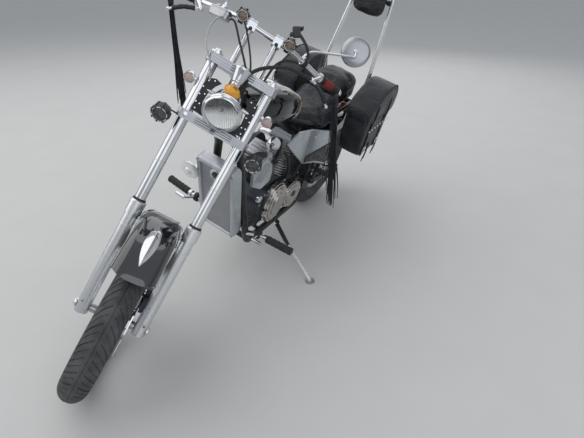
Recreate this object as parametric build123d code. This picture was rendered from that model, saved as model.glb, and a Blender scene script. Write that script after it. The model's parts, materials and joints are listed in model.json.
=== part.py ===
"""A long-fork chopper motorcycle parked on its side stand with the bars on the left stop.

The machine is drawn upright and steered straight ahead, in bike space: origin under the rear
axle on the ground, +X to the rider's left, -Y forward, +Z up. The front end is drawn in fork
space: origin at the middle of the lower clamp, +Z up along the steering axis, -Y ahead of it.
Steering, lean and pitch are applied last, so every size below is an upright size.
"""

from build123d import *
from math import acos, asin, atan2, cos, degrees, hypot, pi, radians, sin, sqrt, tan
import os

# Driving dimensions, in millimetres and degrees
WHEELBASE = 1755
RAKE = 36
STEERED = 30
LEAN = 15.9
FORK_LENGTH = 825
FORK_OFFSET = 68
FORK_SPACING = 233
CLAMP_SPACING = 231
SEAT = 0.3
RUN = 0.05

FRONT_TYRE = {"radius": 331, "crown": 55, "bead": 246, "rim_half": 36}
REAR_TYRE = {"radius": 326, "crown": 85, "bead": 198, "rim_half": 58}

CLAMP_THICK = 34
CLAMP_WIDTH = 290
CLAMP_DEPTH = 72
STEM_RADIUS = 20
HEAD_TUBE_RADIUS = 32
HEAD_GAP = 1
TUBE_RADIUS = 21.5
SLIDER_RADIUS = 27
SLIDER_ABOVE_AXLE = 449
SLIDER_BELOW_AXLE = 26
AXLE_RADIUS = 10

FENDER_LIFT = 80
FENDER_RADIUS = 366
FENDER_HALF_WIDTH = 74
FENDER_WALL = 4
FENDER_SKIRT = 58
FENDER_REAR_ANGLE = -42
FENDER_FRONT_ANGLE = 59

RAIL_RADIUS = 15
CRADLE_RADIUS = 18.5
BACKBONE_RADIUS = 22
CRADLE_Z = 250
SEAT_TUBE_Y = -450
CRADLE_X = 112
PIVOT_Y = -365
PIVOT_Z = 400
PIVOT_RADIUS = 20
PLATE_X = 120
PLATE_THICK = 12
ARM_X = 152
ARM_RADIUS = 15

CRANK_Y = -680
CRANK_Z = 400
CASE_HALF_WIDTH = 85
CYLINDER_TILT = 26
CYLINDER_BASE = 118
CYLINDER_TOP = 280
FIN_COUNT = 12
FIN_THICK = 4
HEAD_TOP = 348

TANK_BEHIND_HEAD = 175
TANK_ABOVE_HEAD = 82
TANK_TAIL = (-598, 912)

SEAT_FRONT_Y = -600
SEAT_BACK_Y = -240
SEAT_FRONT_Z = 846
SEAT_BACK_Z = 775
SEAT_RAIL_X = 100
PILLION_BASE_Z = 790
PILLION_TOP_Z = 985
PILLION_HALF = 112
PILLION_REAR_Y = 45

CHAIN_X = 99
CHAIN_WIDTH = 12
REAR_SPROCKET_RADIUS = 92
DRIVE_SPROCKET_RADIUS = 38
DRIVE_Y = -478

BAG_INNER_X = 172
BAG_OUTER_X = 330

STAND_FOOT = (515, -843)
STAND_PIVOT = (128, -640, 205)
STAND_PIN = 6
MUFFLER_X = -220

os.makedirs("parts", exist_ok=True)
X_AXIS = Vector(1, 0, 0)


# Forms that several pieces share
def rod(start, end, radius):
    """A round bar between two points."""
    a, b = Vector(*start), Vector(*end)
    return extrude(Plane(origin=a, z_dir=b - a) * Circle(radius), amount=(b - a).length)


def pipe(points, radius, bend):
    """A round bar along straight runs joined by tangent arcs."""
    path = FilletPolyline(*points, radius=bend)
    return sweep(Plane(origin=path @ 0, z_dir=path % 0) * Circle(radius), path=path)


def side_solid(outline, x_from, x_to, corner=0):
    """A side view outline of (y, z) points, made solid between two x planes."""
    face = make_face(Plane.YZ.offset(x_from) * Polyline(*outline, close=True))
    if corner:
        face = fillet(face.vertices(), corner)
    return extrude(face, amount=x_to - x_from, dir=(1, 0, 0))


def turned(profile, origin, axis):
    """A closed outline of (radius, height) points, turned about an axis through origin."""
    plane = Plane(origin=origin, z_dir=axis)
    section = Plane(origin=origin, x_dir=plane.x_dir, z_dir=-plane.y_dir)
    face = make_face(section * Polyline(*profile, close=True))
    return revolve(face, axis=Axis(origin, tuple(axis)))


def block(x_range, y_range, z_range):
    """A box given by its low and high x, y and z."""
    size = [high - low for low, high in (x_range, y_range, z_range)]
    middle = [(high + low) / 2 for low, high in (x_range, y_range, z_range)]
    return Pos(*middle) * Box(*size)


def both(shape):
    """A piece and its mirror image across the middle plane, as one shape."""
    return [shape, mirror(shape, Plane.YZ)]


def joined(shapes):
    """Several solids fused into one."""
    shapes = list(shapes)
    return shapes[0].fuse(*shapes[1:]) if len(shapes) > 1 else shapes[0]


def seated(shape):
    """What stays of a bracket once the tube that it meets is cut out of it: its largest solid."""
    return max(shape.solids(), key=lambda solid: solid.volume)


def apart(shapes):
    """Several solids that share a node without touching."""
    solids = [solid for shape in shapes for solid in shape.solids()]
    return Compound(children=solids)


# Where the upright machine stands
HEAD = Vector(
    0,
    -WHEELBASE + FORK_LENGTH * sin(radians(RAKE)) + FORK_OFFSET * cos(radians(RAKE)),
    FRONT_TYRE["radius"] + FORK_LENGTH * cos(radians(RAKE)) - FORK_OFFSET * sin(radians(RAKE)),
)
STEER_AXIS = Vector(0, sin(radians(RAKE)), cos(radians(RAKE)))
FORK_PLANE = Plane(origin=HEAD, x_dir=X_AXIS, z_dir=STEER_AXIS)
FORK_PLACE = FORK_PLANE.location


def lowest_point(centre, axle, tyre):
    """Height of the lowest point of a tyre whose tread is a round crown."""
    sideways = axle.normalized().Z
    return centre.Z - (tyre["radius"] - tyre["crown"]) * sqrt(1 - sideways**2) - tyre["crown"]


def parked_place():
    """The lean, pitch and height at which both tyres touch the floor."""
    steered = FORK_PLACE * Rot(0, 0, STEERED)
    front_axle = (steered * Pos(0, -FORK_OFFSET, -FORK_LENGTH)).position
    front_way = (steered * Pos(1, 0, 0)).position - steered.position
    pitch = 0.0
    for _ in range(8):
        place = Rot(degrees(pitch), 0, 0) * Rot(0, LEAN, 0)
        rear_low = lowest_point(
            (place * Pos(0, 0, REAR_TYRE["radius"])).position, (place * Pos(1, 0, 0)).position, REAR_TYRE
        )
        front_low = lowest_point(
            (place * Pos(*front_axle)).position, (place * Pos(*front_way)).position, FRONT_TYRE
        )
        pitch += (front_low - rear_low) / WHEELBASE
    return Pos(0, 0, -rear_low) * place


PARKED = parked_place()


# The frame: a cradle of round tubes about the engine, with a solid-looking rear triangle
SLOPE = atan2(SEAT_FRONT_Z - SEAT_BACK_Z, SEAT_BACK_Y - SEAT_FRONT_Y)
RAIL_DROP = RAIL_RADIUS + SEAT


def rail_z(y):
    """Height of the seat rail's middle below the rider's seat at y."""
    base = SEAT_BACK_Z + (SEAT_BACK_Y - y) * tan(SLOPE)
    return base - RAIL_DROP / cos(SLOPE)


def frame_runs(extra=0):
    """The frame's tubes, grown by extra for cutting their seats in what they carry."""
    fork = FORK_PLACE
    top_y, top_z = (fork * Pos(0, 0, 160)).position.Y, (fork * Pos(0, 0, 160)).position.Z
    low_y, low_z = (fork * Pos(0, 0, 55)).position.Y, (fork * Pos(0, 0, 55)).position.Z
    backbone = [(0, top_y, top_z), (0, -690, 922), (0, -632, 825), (0, SEAT_TUBE_Y, 700)]
    side = [
        (14, low_y, low_z),
        (58, -1078, 830),
        (CRADLE_X, -975, 345),
        (CRADLE_X, -935, CRADLE_Z),
        (CRADLE_X, -470, CRADLE_Z),
        (PLATE_X + PLATE_THICK / 2, -385, 330),
    ]
    rail = [
        (18, -622, rail_z(-622)),
        (SEAT_RAIL_X, -540, rail_z(-540)),
        (SEAT_RAIL_X, SEAT_BACK_Y, rail_z(SEAT_BACK_Y)),
        (SEAT_RAIL_X, SEAT_BACK_Y + 60, PILLION_BASE_Z - RAIL_DROP),
        (SEAT_RAIL_X, PILLION_REAR_Y + 15, PILLION_BASE_Z - RAIL_DROP),
    ]
    upright = [
        (PLATE_X + PLATE_THICK / 2, -405, 480),
        (PLATE_X + 2, -430, 640),
        (SEAT_RAIL_X, -440, rail_z(-440) - 4),
    ]
    runs = [
        pipe(backbone, BACKBONE_RADIUS + extra, 60),
        rod((-PLATE_X, SEAT_TUBE_Y, 690), (PLATE_X, SEAT_TUBE_Y, 690), RAIL_RADIUS + extra),
        rod((-CRADLE_X, -925, CRADLE_Z + 8), (CRADLE_X, -925, CRADLE_Z + 8), RAIL_RADIUS + extra),
        rod((-CRADLE_X, -455, CRADLE_Z + 8), (CRADLE_X, -455, CRADLE_Z + 8), RAIL_RADIUS + extra),
        rod((-SEAT_RAIL_X, 50, PILLION_BASE_Z - RAIL_DROP), (SEAT_RAIL_X, 50, PILLION_BASE_Z - RAIL_DROP),
            RAIL_RADIUS + extra),
    ]
    runs += both(pipe(side, CRADLE_RADIUS + extra, 45))
    runs += both(pipe(rail, RAIL_RADIUS + extra, 30))
    runs += both(pipe(upright, RAIL_RADIUS + extra, 40))
    return runs


def frame_tubes():
    """The welded frame with its head tube, pivot plates and stand lug."""
    length = CLAMP_SPACING - CLAMP_THICK - 2 * HEAD_GAP
    head = FORK_PLACE * Pos(0, 0, CLAMP_SPACING / 2) * Cylinder(HEAD_TUBE_RADIUS, length)
    bore = FORK_PLACE * Pos(0, 0, CLAMP_SPACING / 2) * Cylinder(STEM_RADIUS + RUN, length + 2)
    plate = side_solid(
        [(-440, 290), (-345, 330), (-335, 470), (-380, 520), (-430, 500)],
        PLATE_X, PLATE_X + PLATE_THICK, 12,
    )
    welded = joined(frame_runs() + both(plate) + [head, stand_lug()])
    pivot_bore = rod((-200, PIVOT_Y, PIVOT_Z), (200, PIVOT_Y, PIVOT_Z), PIVOT_RADIUS + SEAT)
    return welded - bore - pivot_bore


def stand_lug():
    """The plate and pin under the left cradle tube that the side stand turns on."""
    pivot, axis = stand_hinge()
    plate = extrude(Plane(origin=pivot + axis * 10.5, z_dir=axis) * Circle(14), amount=6)
    pin = rod(pivot - axis * 13, pivot + axis * 12, STAND_PIN)
    cap = extrude(Plane(origin=pivot - axis * 13.5, z_dir=axis) * Circle(9), amount=3)
    web = rod(pivot + axis * 16, (CRADLE_X, STAND_PIVOT[1], CRADLE_Z), 7)
    return joined([plate, pin, cap, web])


def swingarm():
    """Two arms and an upper triangle that carry the rear axle, on a cross tube through the plates."""
    tube = rod((-ARM_X, PIVOT_Y, PIVOT_Z), (ARM_X, PIVOT_Y, PIVOT_Z), PIVOT_RADIUS)
    sides = []
    axle_z = REAR_TYRE["radius"]
    for way in (-1, 1):
        x = way * ARM_X
        sides += [
            rod((x, PIVOT_Y, PIVOT_Z), (x, -50, axle_z + 8), ARM_RADIUS + 3),
            rod((x, -48, axle_z + 20), (x, -300, 575), ARM_RADIUS - 3),
            rod((x, -300, 575), (x, PIVOT_Y, PIVOT_Z), ARM_RADIUS - 3),
            side_solid([(-76, axle_z - 14), (-30, axle_z - 24), (34, axle_z - 24), (34, axle_z + 24), (-76, axle_z + 34)],
                       x - 7, x + 7, 12),
            Pos(x, -300, 575) * Sphere(ARM_RADIUS - 2),
            Pos(x, PIVOT_Y, PIVOT_Z) * Sphere(PIVOT_RADIUS + 2),
        ]
    bore = rod((-200, 0, axle_z), (200, 0, axle_z), AXLE_RADIUS + SEAT)
    return joined([tube] + sides) - bore


# Engine: two finned cylinders in a narrow V on one crankcase, cooled by a radiator
def bank_place(way):
    """Where a cylinder stands: origin on the crank line, +Z up the bore. way is -1 front, 1 rear."""
    return Pos(0, CRANK_Y, CRANK_Z) * Rot(-way * CYLINDER_TILT, 0, 0)


def chamfered(width, depth, corner):
    """A rectangle with cut corners, the plan of a fin or a head."""
    plan = Rectangle(width, depth)
    return chamfer(plan.vertices(), corner)


def crankcase():
    outline = [
        (-852, 330), (-840, 440), (-785, 482), (-580, 482), (-480, 490),
        (-425, 470), (-425, 330), (-520, 275), (-800, 275),
    ]
    case = side_solid(outline, -CASE_HALF_WIDTH, CASE_HALF_WIDTH, 22)
    decks = [bank_place(way) * Pos(0, 0, 60) * Box(130, 112, 2 * (CYLINDER_BASE - 60)) for way in (-1, 1)]
    shaft = rod((CASE_HALF_WIDTH - 5, DRIVE_Y, PIVOT_Z), (CHAIN_X - CHAIN_WIDTH / 2 - 1, DRIVE_Y, PIVOT_Z), 24)
    ribs = [block((-CASE_HALF_WIDTH, CASE_HALF_WIDTH), (y, y + 6), (CRADLE_Z + 17, 280)) for y in (-760, -700, -640, -580)]
    feet = [
        block((-x, x), (y, y + 26), (CRADLE_Z + 10, top)) for y in (-830, -540) for x, top in ((CRADLE_X, 262), (CASE_HALF_WIDTH, 300))
    ]
    return seated(joined([case, shaft] + decks + ribs + feet).cut(*frame_runs(SEAT)[5:7]))


def cylinder(way):
    """One barrel with its stack of fins."""
    pitch = (CYLINDER_TOP - CYLINDER_BASE) / FIN_COUNT
    barrel = Pos(0, 0, (CYLINDER_BASE + CYLINDER_TOP) / 2) * extrude(
        chamfered(112, 100, 28), amount=(CYLINDER_TOP - CYLINDER_BASE) / 2 - SEAT, both=True
    )
    fins = [
        Pos(0, 0, CYLINDER_BASE + pitch * (i + 0.5)) * extrude(chamfered(150, 120, 30), amount=FIN_THICK / 2, both=True)
        for i in range(FIN_COUNT)
    ]
    low, high = sorted((CRANK_Y + way * SEAT, CRANK_Y + way * 400))
    return (bank_place(way) * joined([barrel] + fins)) & block((-200, 200), (low, high), (300, 900))


def head(way):
    """A cylinder head: block, two fins and a polished rocker cover."""
    base = Pos(0, 0, CYLINDER_TOP + 17) * extrude(chamfered(128, 112, 26), amount=17, both=True)
    fins = [Pos(0, 0, CYLINDER_TOP + z) * extrude(chamfered(146, 124, 28), amount=2.5, both=True) for z in (8, 22)]
    cover = Pos(0, 0, (CYLINDER_TOP + 34 + HEAD_TOP) / 2) * Box(116, 100, HEAD_TOP - CYLINDER_TOP - 34)
    cover = fillet(cover.edges().filter_by(Axis.Z), 26)
    cover = fillet(cover.edges().group_by(Axis.Z)[-1], 12)
    return bank_place(way) * joined([base, cover] + fins)


def left_covers():
    """The round alternator cover and the oval drive cover behind it."""
    face = CASE_HALF_WIDTH + SEAT
    layers = [(36, 190, 0, 34), (36, 170, 34, 46), (30, 96, 46, 54)]
    oval = [
        extrude(Plane.YZ.offset(face + low) * Rot(0, 0, 90) * SlotCenterToCenter(span, wide), amount=high - low, dir=(1, 0, 0))
        for span, wide, low, high in layers
    ]
    main = Pos(0, CRANK_Y - 34, CRANK_Z - 8) * Rot(-10, 0, 0) * joined(oval)
    outside = CHAIN_X + CHAIN_WIDTH / 2 + 5
    low, high = Plane.YZ.offset(outside), Plane.YZ.offset(outside + 20)
    slots = [extrude(low * SlotCenterToCenter(30, 168), amount=20, dir=(1, 0, 0)),
             extrude(high * SlotCenterToCenter(24, 136), amount=8, dir=(1, 0, 0))]
    drive = Pos(0, DRIVE_Y - 68, PIVOT_Z - 26) * Rot(-24, 0, 0) * joined(slots)
    wall = block((face, outside + 2), (DRIVE_Y - 112, DRIVE_Y - 60), (PIVOT_Z - 60, PIVOT_Z + 20))
    return joined([main, drive, wall])


def right_covers():
    """The clutch cover on the right, with an oil filler beside it."""
    face = -CASE_HALF_WIDTH - SEAT
    clutch = turned([(0, 0), (104, 0), (104, 22), (92, 38), (60, 48), (0, 50)], (face, CRANK_Y + 40, CRANK_Z), (-1, 0, 0))
    points = turned([(0, 0), (52, 0), (52, 16), (42, 26), (0, 28)], (face, CRANK_Y - 92, CRANK_Z + 20), (-1, 0, 0))
    return clutch + points


def air_cleaner():
    """A round cover on a neck that comes out of the V, with a branch to each head."""
    neck = rod((26, CRANK_Y, 640), (-84, CRANK_Y, 640), 24)
    branches = [
        rod((0, CRANK_Y, 640), (bank_place(way) * Pos(0, -way * 54, 300)).position, 16) for way in (-1, 1)
    ]
    drum = turned([(0, 0), (70, 0), (76, 8), (76, 26), (66, 38), (20, 44), (0, 44)], (-80, CRANK_Y, 640), (-1, 0, 0))
    return seated(joined([neck, drum] + branches).cut(head(-1), head(1), cylinder(-1), cylinder(1)))


def exhausts():
    """Two header pipes on the right that end in straight mufflers, open at the back."""
    front_port = [bank_place(-1) * Pos(-30, y, 300) for y in (-62 - SEAT, -112)]
    rear_port = [bank_place(1) * Pos(x, 0, 300) for x in (-73 - SEAT, -150)]
    x = MUFFLER_X
    # pipe points, bend, muffler start y, muffler end y, muffler height
    rows = [
        ([tuple(at.position) for at in front_port] + [(-150, -905, 440), (x + 8, -800, 300), (x, -430, 300)],
         34, -440, 130, 300),
        ([tuple(at.position) for at in rear_port] + [(x + 8, -520, 395), (x, -400, 395)], 34, -410, 70, 395),
    ]
    solids, headers = [], []
    for points, bend, start, end, z in rows:
        headers.append(pipe(points, 19 + SEAT, bend))
        can = turned([(0, 0), (26, 0), (39, 40), (39, end - start), (0, end - start)], (x, start, z), (0, 1, 0))
        mouth = rod((x, end - 70, z), (x, end + 1, z), 33)
        solids.append(joined([pipe(points, 19, bend), can]) - mouth)
    hanger = block((x + 6, -PLATE_X - PLATE_THICK - SEAT), (-436, -420), (312, 408))
    solids.append(seated(hanger.cut(*headers, frame_runs(SEAT)[6])))
    return apart(solids)


# Radiator between the downtubes, in a plane that leans with them
RAD_LOW = Vector(0, -1036, 348)
RAD_HIGH = Vector(0, -1142, 776)
RAD_BORDER = 20
RAD_PLACE = Plane(
    origin=(RAD_LOW + RAD_HIGH) * 0.5, x_dir=X_AXIS, z_dir=X_AXIS.cross(RAD_HIGH - RAD_LOW)
).location
RAD_HEIGHT = (RAD_HIGH - RAD_LOW).length
RAD_HALF_WIDTH = 105
RAD_LOUVRES = 22


def radiator():
    """The core: a slab with a row of louvres across its face."""
    width, height = 2 * (RAD_HALF_WIDTH - RAD_BORDER - SEAT), RAD_HEIGHT - 2 * (RAD_BORDER + SEAT)
    core = Box(width, height, 26)
    pitch = (height - 20) / RAD_LOUVRES
    slats = [
        Pos(0, -height / 2 + 10 + pitch * (i + 0.5), 15) * Box(width, pitch * 0.4, 6) for i in range(RAD_LOUVRES)
    ]
    return RAD_PLACE * joined([core] + slats)


def radiator_shell():
    """The frame about the core, with tabs that bolt to the downtubes."""
    outer = Rectangle(2 * RAD_HALF_WIDTH, RAD_HEIGHT)
    outer = fillet(outer.vertices(), 14)
    inner = Rectangle(2 * (RAD_HALF_WIDTH - RAD_BORDER), RAD_HEIGHT - 2 * RAD_BORDER)
    ring = extrude(outer - inner, amount=28, both=True)
    ring = fillet(ring.faces().sort_by(Axis.Z)[-1].outer_wire().edges(), 8)
    tabs = [Pos(way * (RAD_HALF_WIDTH - 14), z, -48) * Box(22, 16, 60) for way in (-1, 1) for z in (-120, 130)]
    return seated((RAD_PLACE * joined([ring] + tabs)).cut(*frame_runs(SEAT)[5:7]))


def horn():
    """A disc horn on a strap beside the radiator."""
    place = RAD_PLACE * Pos(-RAD_HALF_WIDTH - 26, 132, 46)
    disc = place * extrude(Circle(38), amount=10, both=True)
    centre = place * Pos(0, 0, 14) * extrude(Circle(14), amount=4, both=True)
    strap = RAD_PLACE * Pos(-RAD_HALF_WIDTH - 12 - SEAT, 132, 16) * Box(24, 20, 48)
    return joined([disc, centre, strap])


# Tank, seats and tail
def along_tank(share):
    """Side view (y, z) of the tank's middle line, from its nose behind the head tube to its tail."""
    nose = (HEAD.Y + TANK_BEHIND_HEAD, HEAD.Z + TANK_ABOVE_HEAD)
    return tuple(start + (end - start) * share for start, end in zip(nose, TANK_TAIL))


def fuel_tank():
    """A peanut tank over the backbone: five sections from the steering head to the seat."""
    # share of the length, width, height, rise above the middle line, corner
    rows = [
        (0, 96, 76, 0, 34),
        (0.18, 206, 140, -6, 62),
        (0.475, 246, 172, 6, 80),
        (0.77, 208, 148, 8, 66),
        (1, 120, 76, 0, 34),
    ]
    sections = []
    for share, width, height, rise, corner in rows:
        y, z = along_tank(share)
        plane = Plane(origin=(0, y, z + rise), x_dir=(1, 0, 0), z_dir=(0, 1, 0))
        sections.append(plane * RectangleRounded(width, height, corner))
    tank = loft(sections)
    tunnel = BACKBONE_RADIUS + 6
    (front_y, front_z), (rear_y, rear_z) = along_tank(-0.1), along_tank(1.1)
    slot = side_solid(
        [(front_y, front_z - 10), (rear_y, rear_z - 10), (rear_y, rear_z - 200), (front_y, front_z - 200)], -tunnel, tunnel
    )
    cap_y, cap_z = along_tank(0.4)
    cap = turned([(0, 0), (32, 0), (32, 12), (26, 18), (0, 20)], (0, cap_y, cap_z + 78), (0, 0, 1))
    hollow = (tank + cap) - slot - frame_runs(6)[0]
    pads = [
        block((-tunnel - 2, tunnel + 2), (y - 15, y + 15), (z - 40, z + 30))
        for y, z in (along_tank(0.17), along_tank(0.72))
    ]
    return joined([hollow] + [pad.cut(frame_runs(SEAT)[0]) for pad in pads])


def rider_seat():
    """A dished saddle: a low rounded solid on the sloping rails."""
    drop = SEAT / cos(SLOPE)
    outline = [
        (SEAT_FRONT_Y, SEAT_FRONT_Z), (SEAT_FRONT_Y + 20, SEAT_FRONT_Z + 66), (-460, SEAT_FRONT_Z + 56),
        (-360, SEAT_FRONT_Z + 62), (SEAT_BACK_Y - 20, SEAT_FRONT_Z + 118), (SEAT_BACK_Y - SEAT, SEAT_FRONT_Z + 112),
        (SEAT_BACK_Y - SEAT, SEAT_BACK_Z),
    ]
    body = side_solid(outline, -160, 160, 8)
    plan = Plane.XY.offset(700) * make_face(Polyline(
        (-80, SEAT_FRONT_Y - 5), (80, SEAT_FRONT_Y - 5), (148, -440), (158, -320), (128, SEAT_BACK_Y + 5),
        (-128, SEAT_BACK_Y + 5), (-158, -320), (-148, -440), close=True,
    ))
    return body & extrude(plan, amount=320)


def pillion_seat():
    """The raised passenger pad behind the rider's seat."""
    body = block((-PILLION_HALF, PILLION_HALF), (SEAT_BACK_Y + SEAT, PILLION_REAR_Y), (PILLION_BASE_Z, PILLION_TOP_Z))
    body = fillet(body.edges().filter_by(Axis.Z), 34)
    return fillet(body.edges().group_by(Axis.Z)[-1], 32)


def side_covers():
    """A folded plate on each side under the rider's seat, its front turned in towards the tank."""
    inner = PLATE_X + PLATE_THICK + 9
    turn_y, front_y, front_x = -425, -585, inner - 34
    strip = extrude(Plane.XY.offset(440) * make_face(Polyline(
        (inner, -238), (inner + 9, -238), (inner + 9, turn_y - 1), (front_x + 9, front_y), (front_x, front_y), (inner, turn_y),
        close=True,
    )), amount=440)
    left = [(-585, 800), (-545, 812), (-244, 722), (-240, 604), (-322, 604), (-352, 520), (-470, 560), (-585, 660)]
    right = [(-482, 792), (-244, 722), (-240, 604), (-482, 604)]
    cover, other = strip & side_solid(left, 60, 200), strip & side_solid(right, 60, 200)
    peg = rod((PLATE_X - 4, -431, 665), (inner + 1, -431, 665), 8)
    pair = [plate + peg for plate in (cover, other)]
    pair = [seated(plate.cut(*frame_runs(SEAT)[9:11])) for plate in pair]
    return apart([pair[0], mirror(pair[1], Plane.YZ)])


REAR_FENDER_RADIUS = 366
REAR_FENDER_HALF_WIDTH = 101


def rear_fender():
    """A round-shouldered rear fender with lugs up to the seat rails."""
    axle = REAR_TYRE["radius"]
    outer = Rectangle(2 * REAR_FENDER_HALF_WIDTH, 90)
    outer = fillet(outer.vertices().group_by(Axis.Y)[-1], 34)
    inner = Pos(0, -4) * Rectangle(2 * REAR_FENDER_HALF_WIDTH - 8, 90)
    inner = fillet(inner.vertices().group_by(Axis.Y)[-1], 30)
    section = Plane.XZ * Pos(0, REAR_FENDER_RADIUS - 45) * (outer - inner)
    shell = revolve(Rot(-85, 0, 0) * section, axis=Axis.X, revolution_arc=145)
    lugs = [
        block((way * 92 - 8, way * 92 + 8), (y - 12, y + 12), (axle + 330, PILLION_BASE_Z - RAIL_DROP))
        for way in (-1, 1) for y in (-150, 20)
    ]
    lugs = [lug.cut(*frame_runs(SEAT)[7:9]) for lug in lugs]
    return joined([Pos(0, 0, axle) * shell] + lugs)


def hoop(extra=0):
    """The backrest hoop's bar: two legs that lean together under a straight top."""
    half = [(150, 38, 772), (150, 52, 985), (113, 124, 1365), (58, 150, 1500)]
    points = half + [(-x, y, z) for x, y, z in reversed(half)]
    return pipe(points, 11.5 + extra, 46)


def sissy_bar():
    """The tapered backrest hoop with a saddle block at each foot and stays for the bags."""
    feet = both(block((SEAT_RAIL_X, 162), (20, 62), (752, PILLION_BASE_Z - SEAT)))
    stays = both(rod((150, 40, 775), (BAG_INNER_X - SEAT, 40, 775), 9))
    low_stays = both(rod((150, 40, 770), (150, 60, 640), 8)) + both(rod((150, 60, 640), (BAG_INNER_X - SEAT, 60, 640), 8))
    knees = both(Pos(150, 60, 640) * Sphere(8.5))
    bar = joined([hoop()] + feet + stays + low_stays + knees)
    return bar.cut(*frame_runs(SEAT)[4:5], *frame_runs(SEAT)[7:9])


def backrest_pad():
    """A flat rounded pad held across the hoop."""
    lean = degrees(atan2(124 - 52, 1365 - 985))
    place = Pos(0, 116, 1352) * Rot(-lean, 0, 0)
    pad = Box(212, 44, 200)
    pad = fillet(pad.edges().filter_by(Axis.Y), 40)
    pad = fillet(pad.faces().sort_by(Axis.Y)[0].edges(), 12)
    pad = place * Pos(0, -36, 0) * pad
    cross = place * Pos(0, -10, 0) * Box(212, 20, 18)
    return seated((pad + cross).cut(hoop(SEAT)))


def saddlebag():
    """The left bag: a slanted body under a lid that overhangs it."""
    body = side_solid([(-226, 830), (168, 830), (170, 640), (140, 552), (-150, 548)], BAG_INNER_X, BAG_OUTER_X - 8, 26)
    lid = side_solid([(-236, 790), (-240, 868), (-196, 914), (46, 990), (132, 972), (178, 900), (178, 790)],
                     BAG_INNER_X, BAG_OUTER_X, 22)
    lid = fillet(lid.faces().sort_by(Axis.X)[-1].edges(), 14)
    body = fillet(body.faces().sort_by(Axis.X)[-1].edges(), 14)
    return body + lid


# Foot controls, stand and tail pieces
def foot_controls():
    """Left forward control: arm from the downtube, peg and pedal."""
    arm = joined([
        rod((CRADLE_X, -968, 330), (196, -990, 388), 13),
        Pos(196, -990, 388) * Sphere(14),
        rod((196, -990, 388), (235, -990, 390), 9),
    ])
    arm = seated(arm.cut(*frame_runs(SEAT)[5:7]))
    peg = rod((232, -990, 390), (392, -980, 394), 17)
    pedal = joined([
        rod((196, -990, 388), (214, -1075, 420), 6),
        Pos(214, -1075, 420) * Sphere(7),
        rod((214, -1075, 420), (262, -1078, 424), 10),
    ])
    return joined([arm, peg, pedal])


def passenger_pegs():
    """Fold-out pegs on the pivot plates."""
    start = PLATE_X + PLATE_THICK + SEAT
    peg = joined([rod((start, -372, 492), (175, -372, 492), 9), rod((170, -372, 492), (272, -372, 492), 15)])
    return apart(both(peg))


def tail_lamp():
    """A round lamp on a short foot on the fender."""
    axle = REAR_TYRE["radius"]
    reach = REAR_FENDER_RADIUS + SEAT
    place = Pos(0, 0, axle) * Rot(-38, 0, 0) * Pos(0, 0, reach)
    foot = place * Pos(0, 0, 12) * Box(60, 50, 24)
    lamp = turned([(0, -30), (30, -30), (44, 0), (44, 26), (36, 36), (0, 40)], (0, 262, 648), (0, 1, 0))
    crown = rod((-200, 0, axle), (200, 0, axle), reach)
    return (foot + lamp) - crown


def plate_bracket():
    """A blank plate on a strap, with a signal lamp at each end of a cross bar."""
    axle = REAR_TYRE["radius"]
    strap = rod((0, 322, 474), (0, 392, 520), 10)
    plate = Pos(0, 400, 510) * Rot(12, 0, 0) * Box(240, 3, 150)
    bar = rod((-150, 384, 560), (150, 384, 560), 7)
    arm = rod((0, 322, 500), (0, 384, 560), 9)
    lamps = [turned([(0, -26), (14, -26), (24, -8), (24, 22), (0, 28)], (way * 158, 384, 560), (0, 1, 0)) for way in (-1, 1)]
    crown = rod((-200, 0, axle), (200, 0, axle), REAR_FENDER_RADIUS + SEAT)
    return seated(joined([strap, plate, bar, arm] + lamps) - crown)


# Final drive
def chain():
    """One closed loop of link plates about both sprockets."""
    axle_z = REAR_TYRE["radius"]
    back, front = (0, axle_z), (DRIVE_Y, PIVOT_Z)
    span = hypot(front[0] - back[0], front[1] - back[1])
    fall = atan2(front[1] - back[1], front[0] - back[0])
    ease = acos((REAR_SPROCKET_RADIUS - DRIVE_SPROCKET_RADIUS) / span)
    rear_arc, front_arc = 2 * pi - 2 * ease, 2 * ease
    run = sqrt(span**2 - (REAR_SPROCKET_RADIUS - DRIVE_SPROCKET_RADIUS) ** 2)
    total = rear_arc * REAR_SPROCKET_RADIUS + front_arc * DRIVE_SPROCKET_RADIUS + 2 * run
    count = 2 * round(total / 24 / 2)
    step = total / count

    def at(s):
        """Point and heading at a distance along the loop, from the upper front of the rear sprocket."""
        s %= total
        if s < run:
            turn = fall - ease
            way = turn + pi / 2
            base = (back[0] + REAR_SPROCKET_RADIUS * cos(turn), back[1] + REAR_SPROCKET_RADIUS * sin(turn))
            return base[0] - s * cos(way + pi), base[1] - s * sin(way + pi), way
        s -= run
        if s < front_arc * DRIVE_SPROCKET_RADIUS:
            turn = fall - ease + s / DRIVE_SPROCKET_RADIUS
            return (front[0] + DRIVE_SPROCKET_RADIUS * cos(turn), front[1] + DRIVE_SPROCKET_RADIUS * sin(turn),
                    turn + pi / 2)
        s -= front_arc * DRIVE_SPROCKET_RADIUS
        if s < run:
            turn = fall + ease
            way = turn + pi / 2
            base = (front[0] + DRIVE_SPROCKET_RADIUS * cos(turn), front[1] + DRIVE_SPROCKET_RADIUS * sin(turn))
            return base[0] + s * cos(way), base[1] + s * sin(way), way
        s -= run
        turn = fall + ease + s / REAR_SPROCKET_RADIUS
        return (back[0] + REAR_SPROCKET_RADIUS * cos(turn), back[1] + REAR_SPROCKET_RADIUS * sin(turn), turn + pi / 2)

    links = []
    for i in range(count):
        y, z, way = at((i + 0.5) * step)
        tall = 15 if i % 2 else 10
        links.append(Pos(y, z) * Rot(0, 0, degrees(way)) * Rectangle(step + 5, tall))
    outline = links[0].fuse(*links[1:])
    loop = extrude(Plane.YZ.offset(CHAIN_X - CHAIN_WIDTH / 2) * outline, amount=CHAIN_WIDTH, dir=(1, 0, 0))
    return loop


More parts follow.
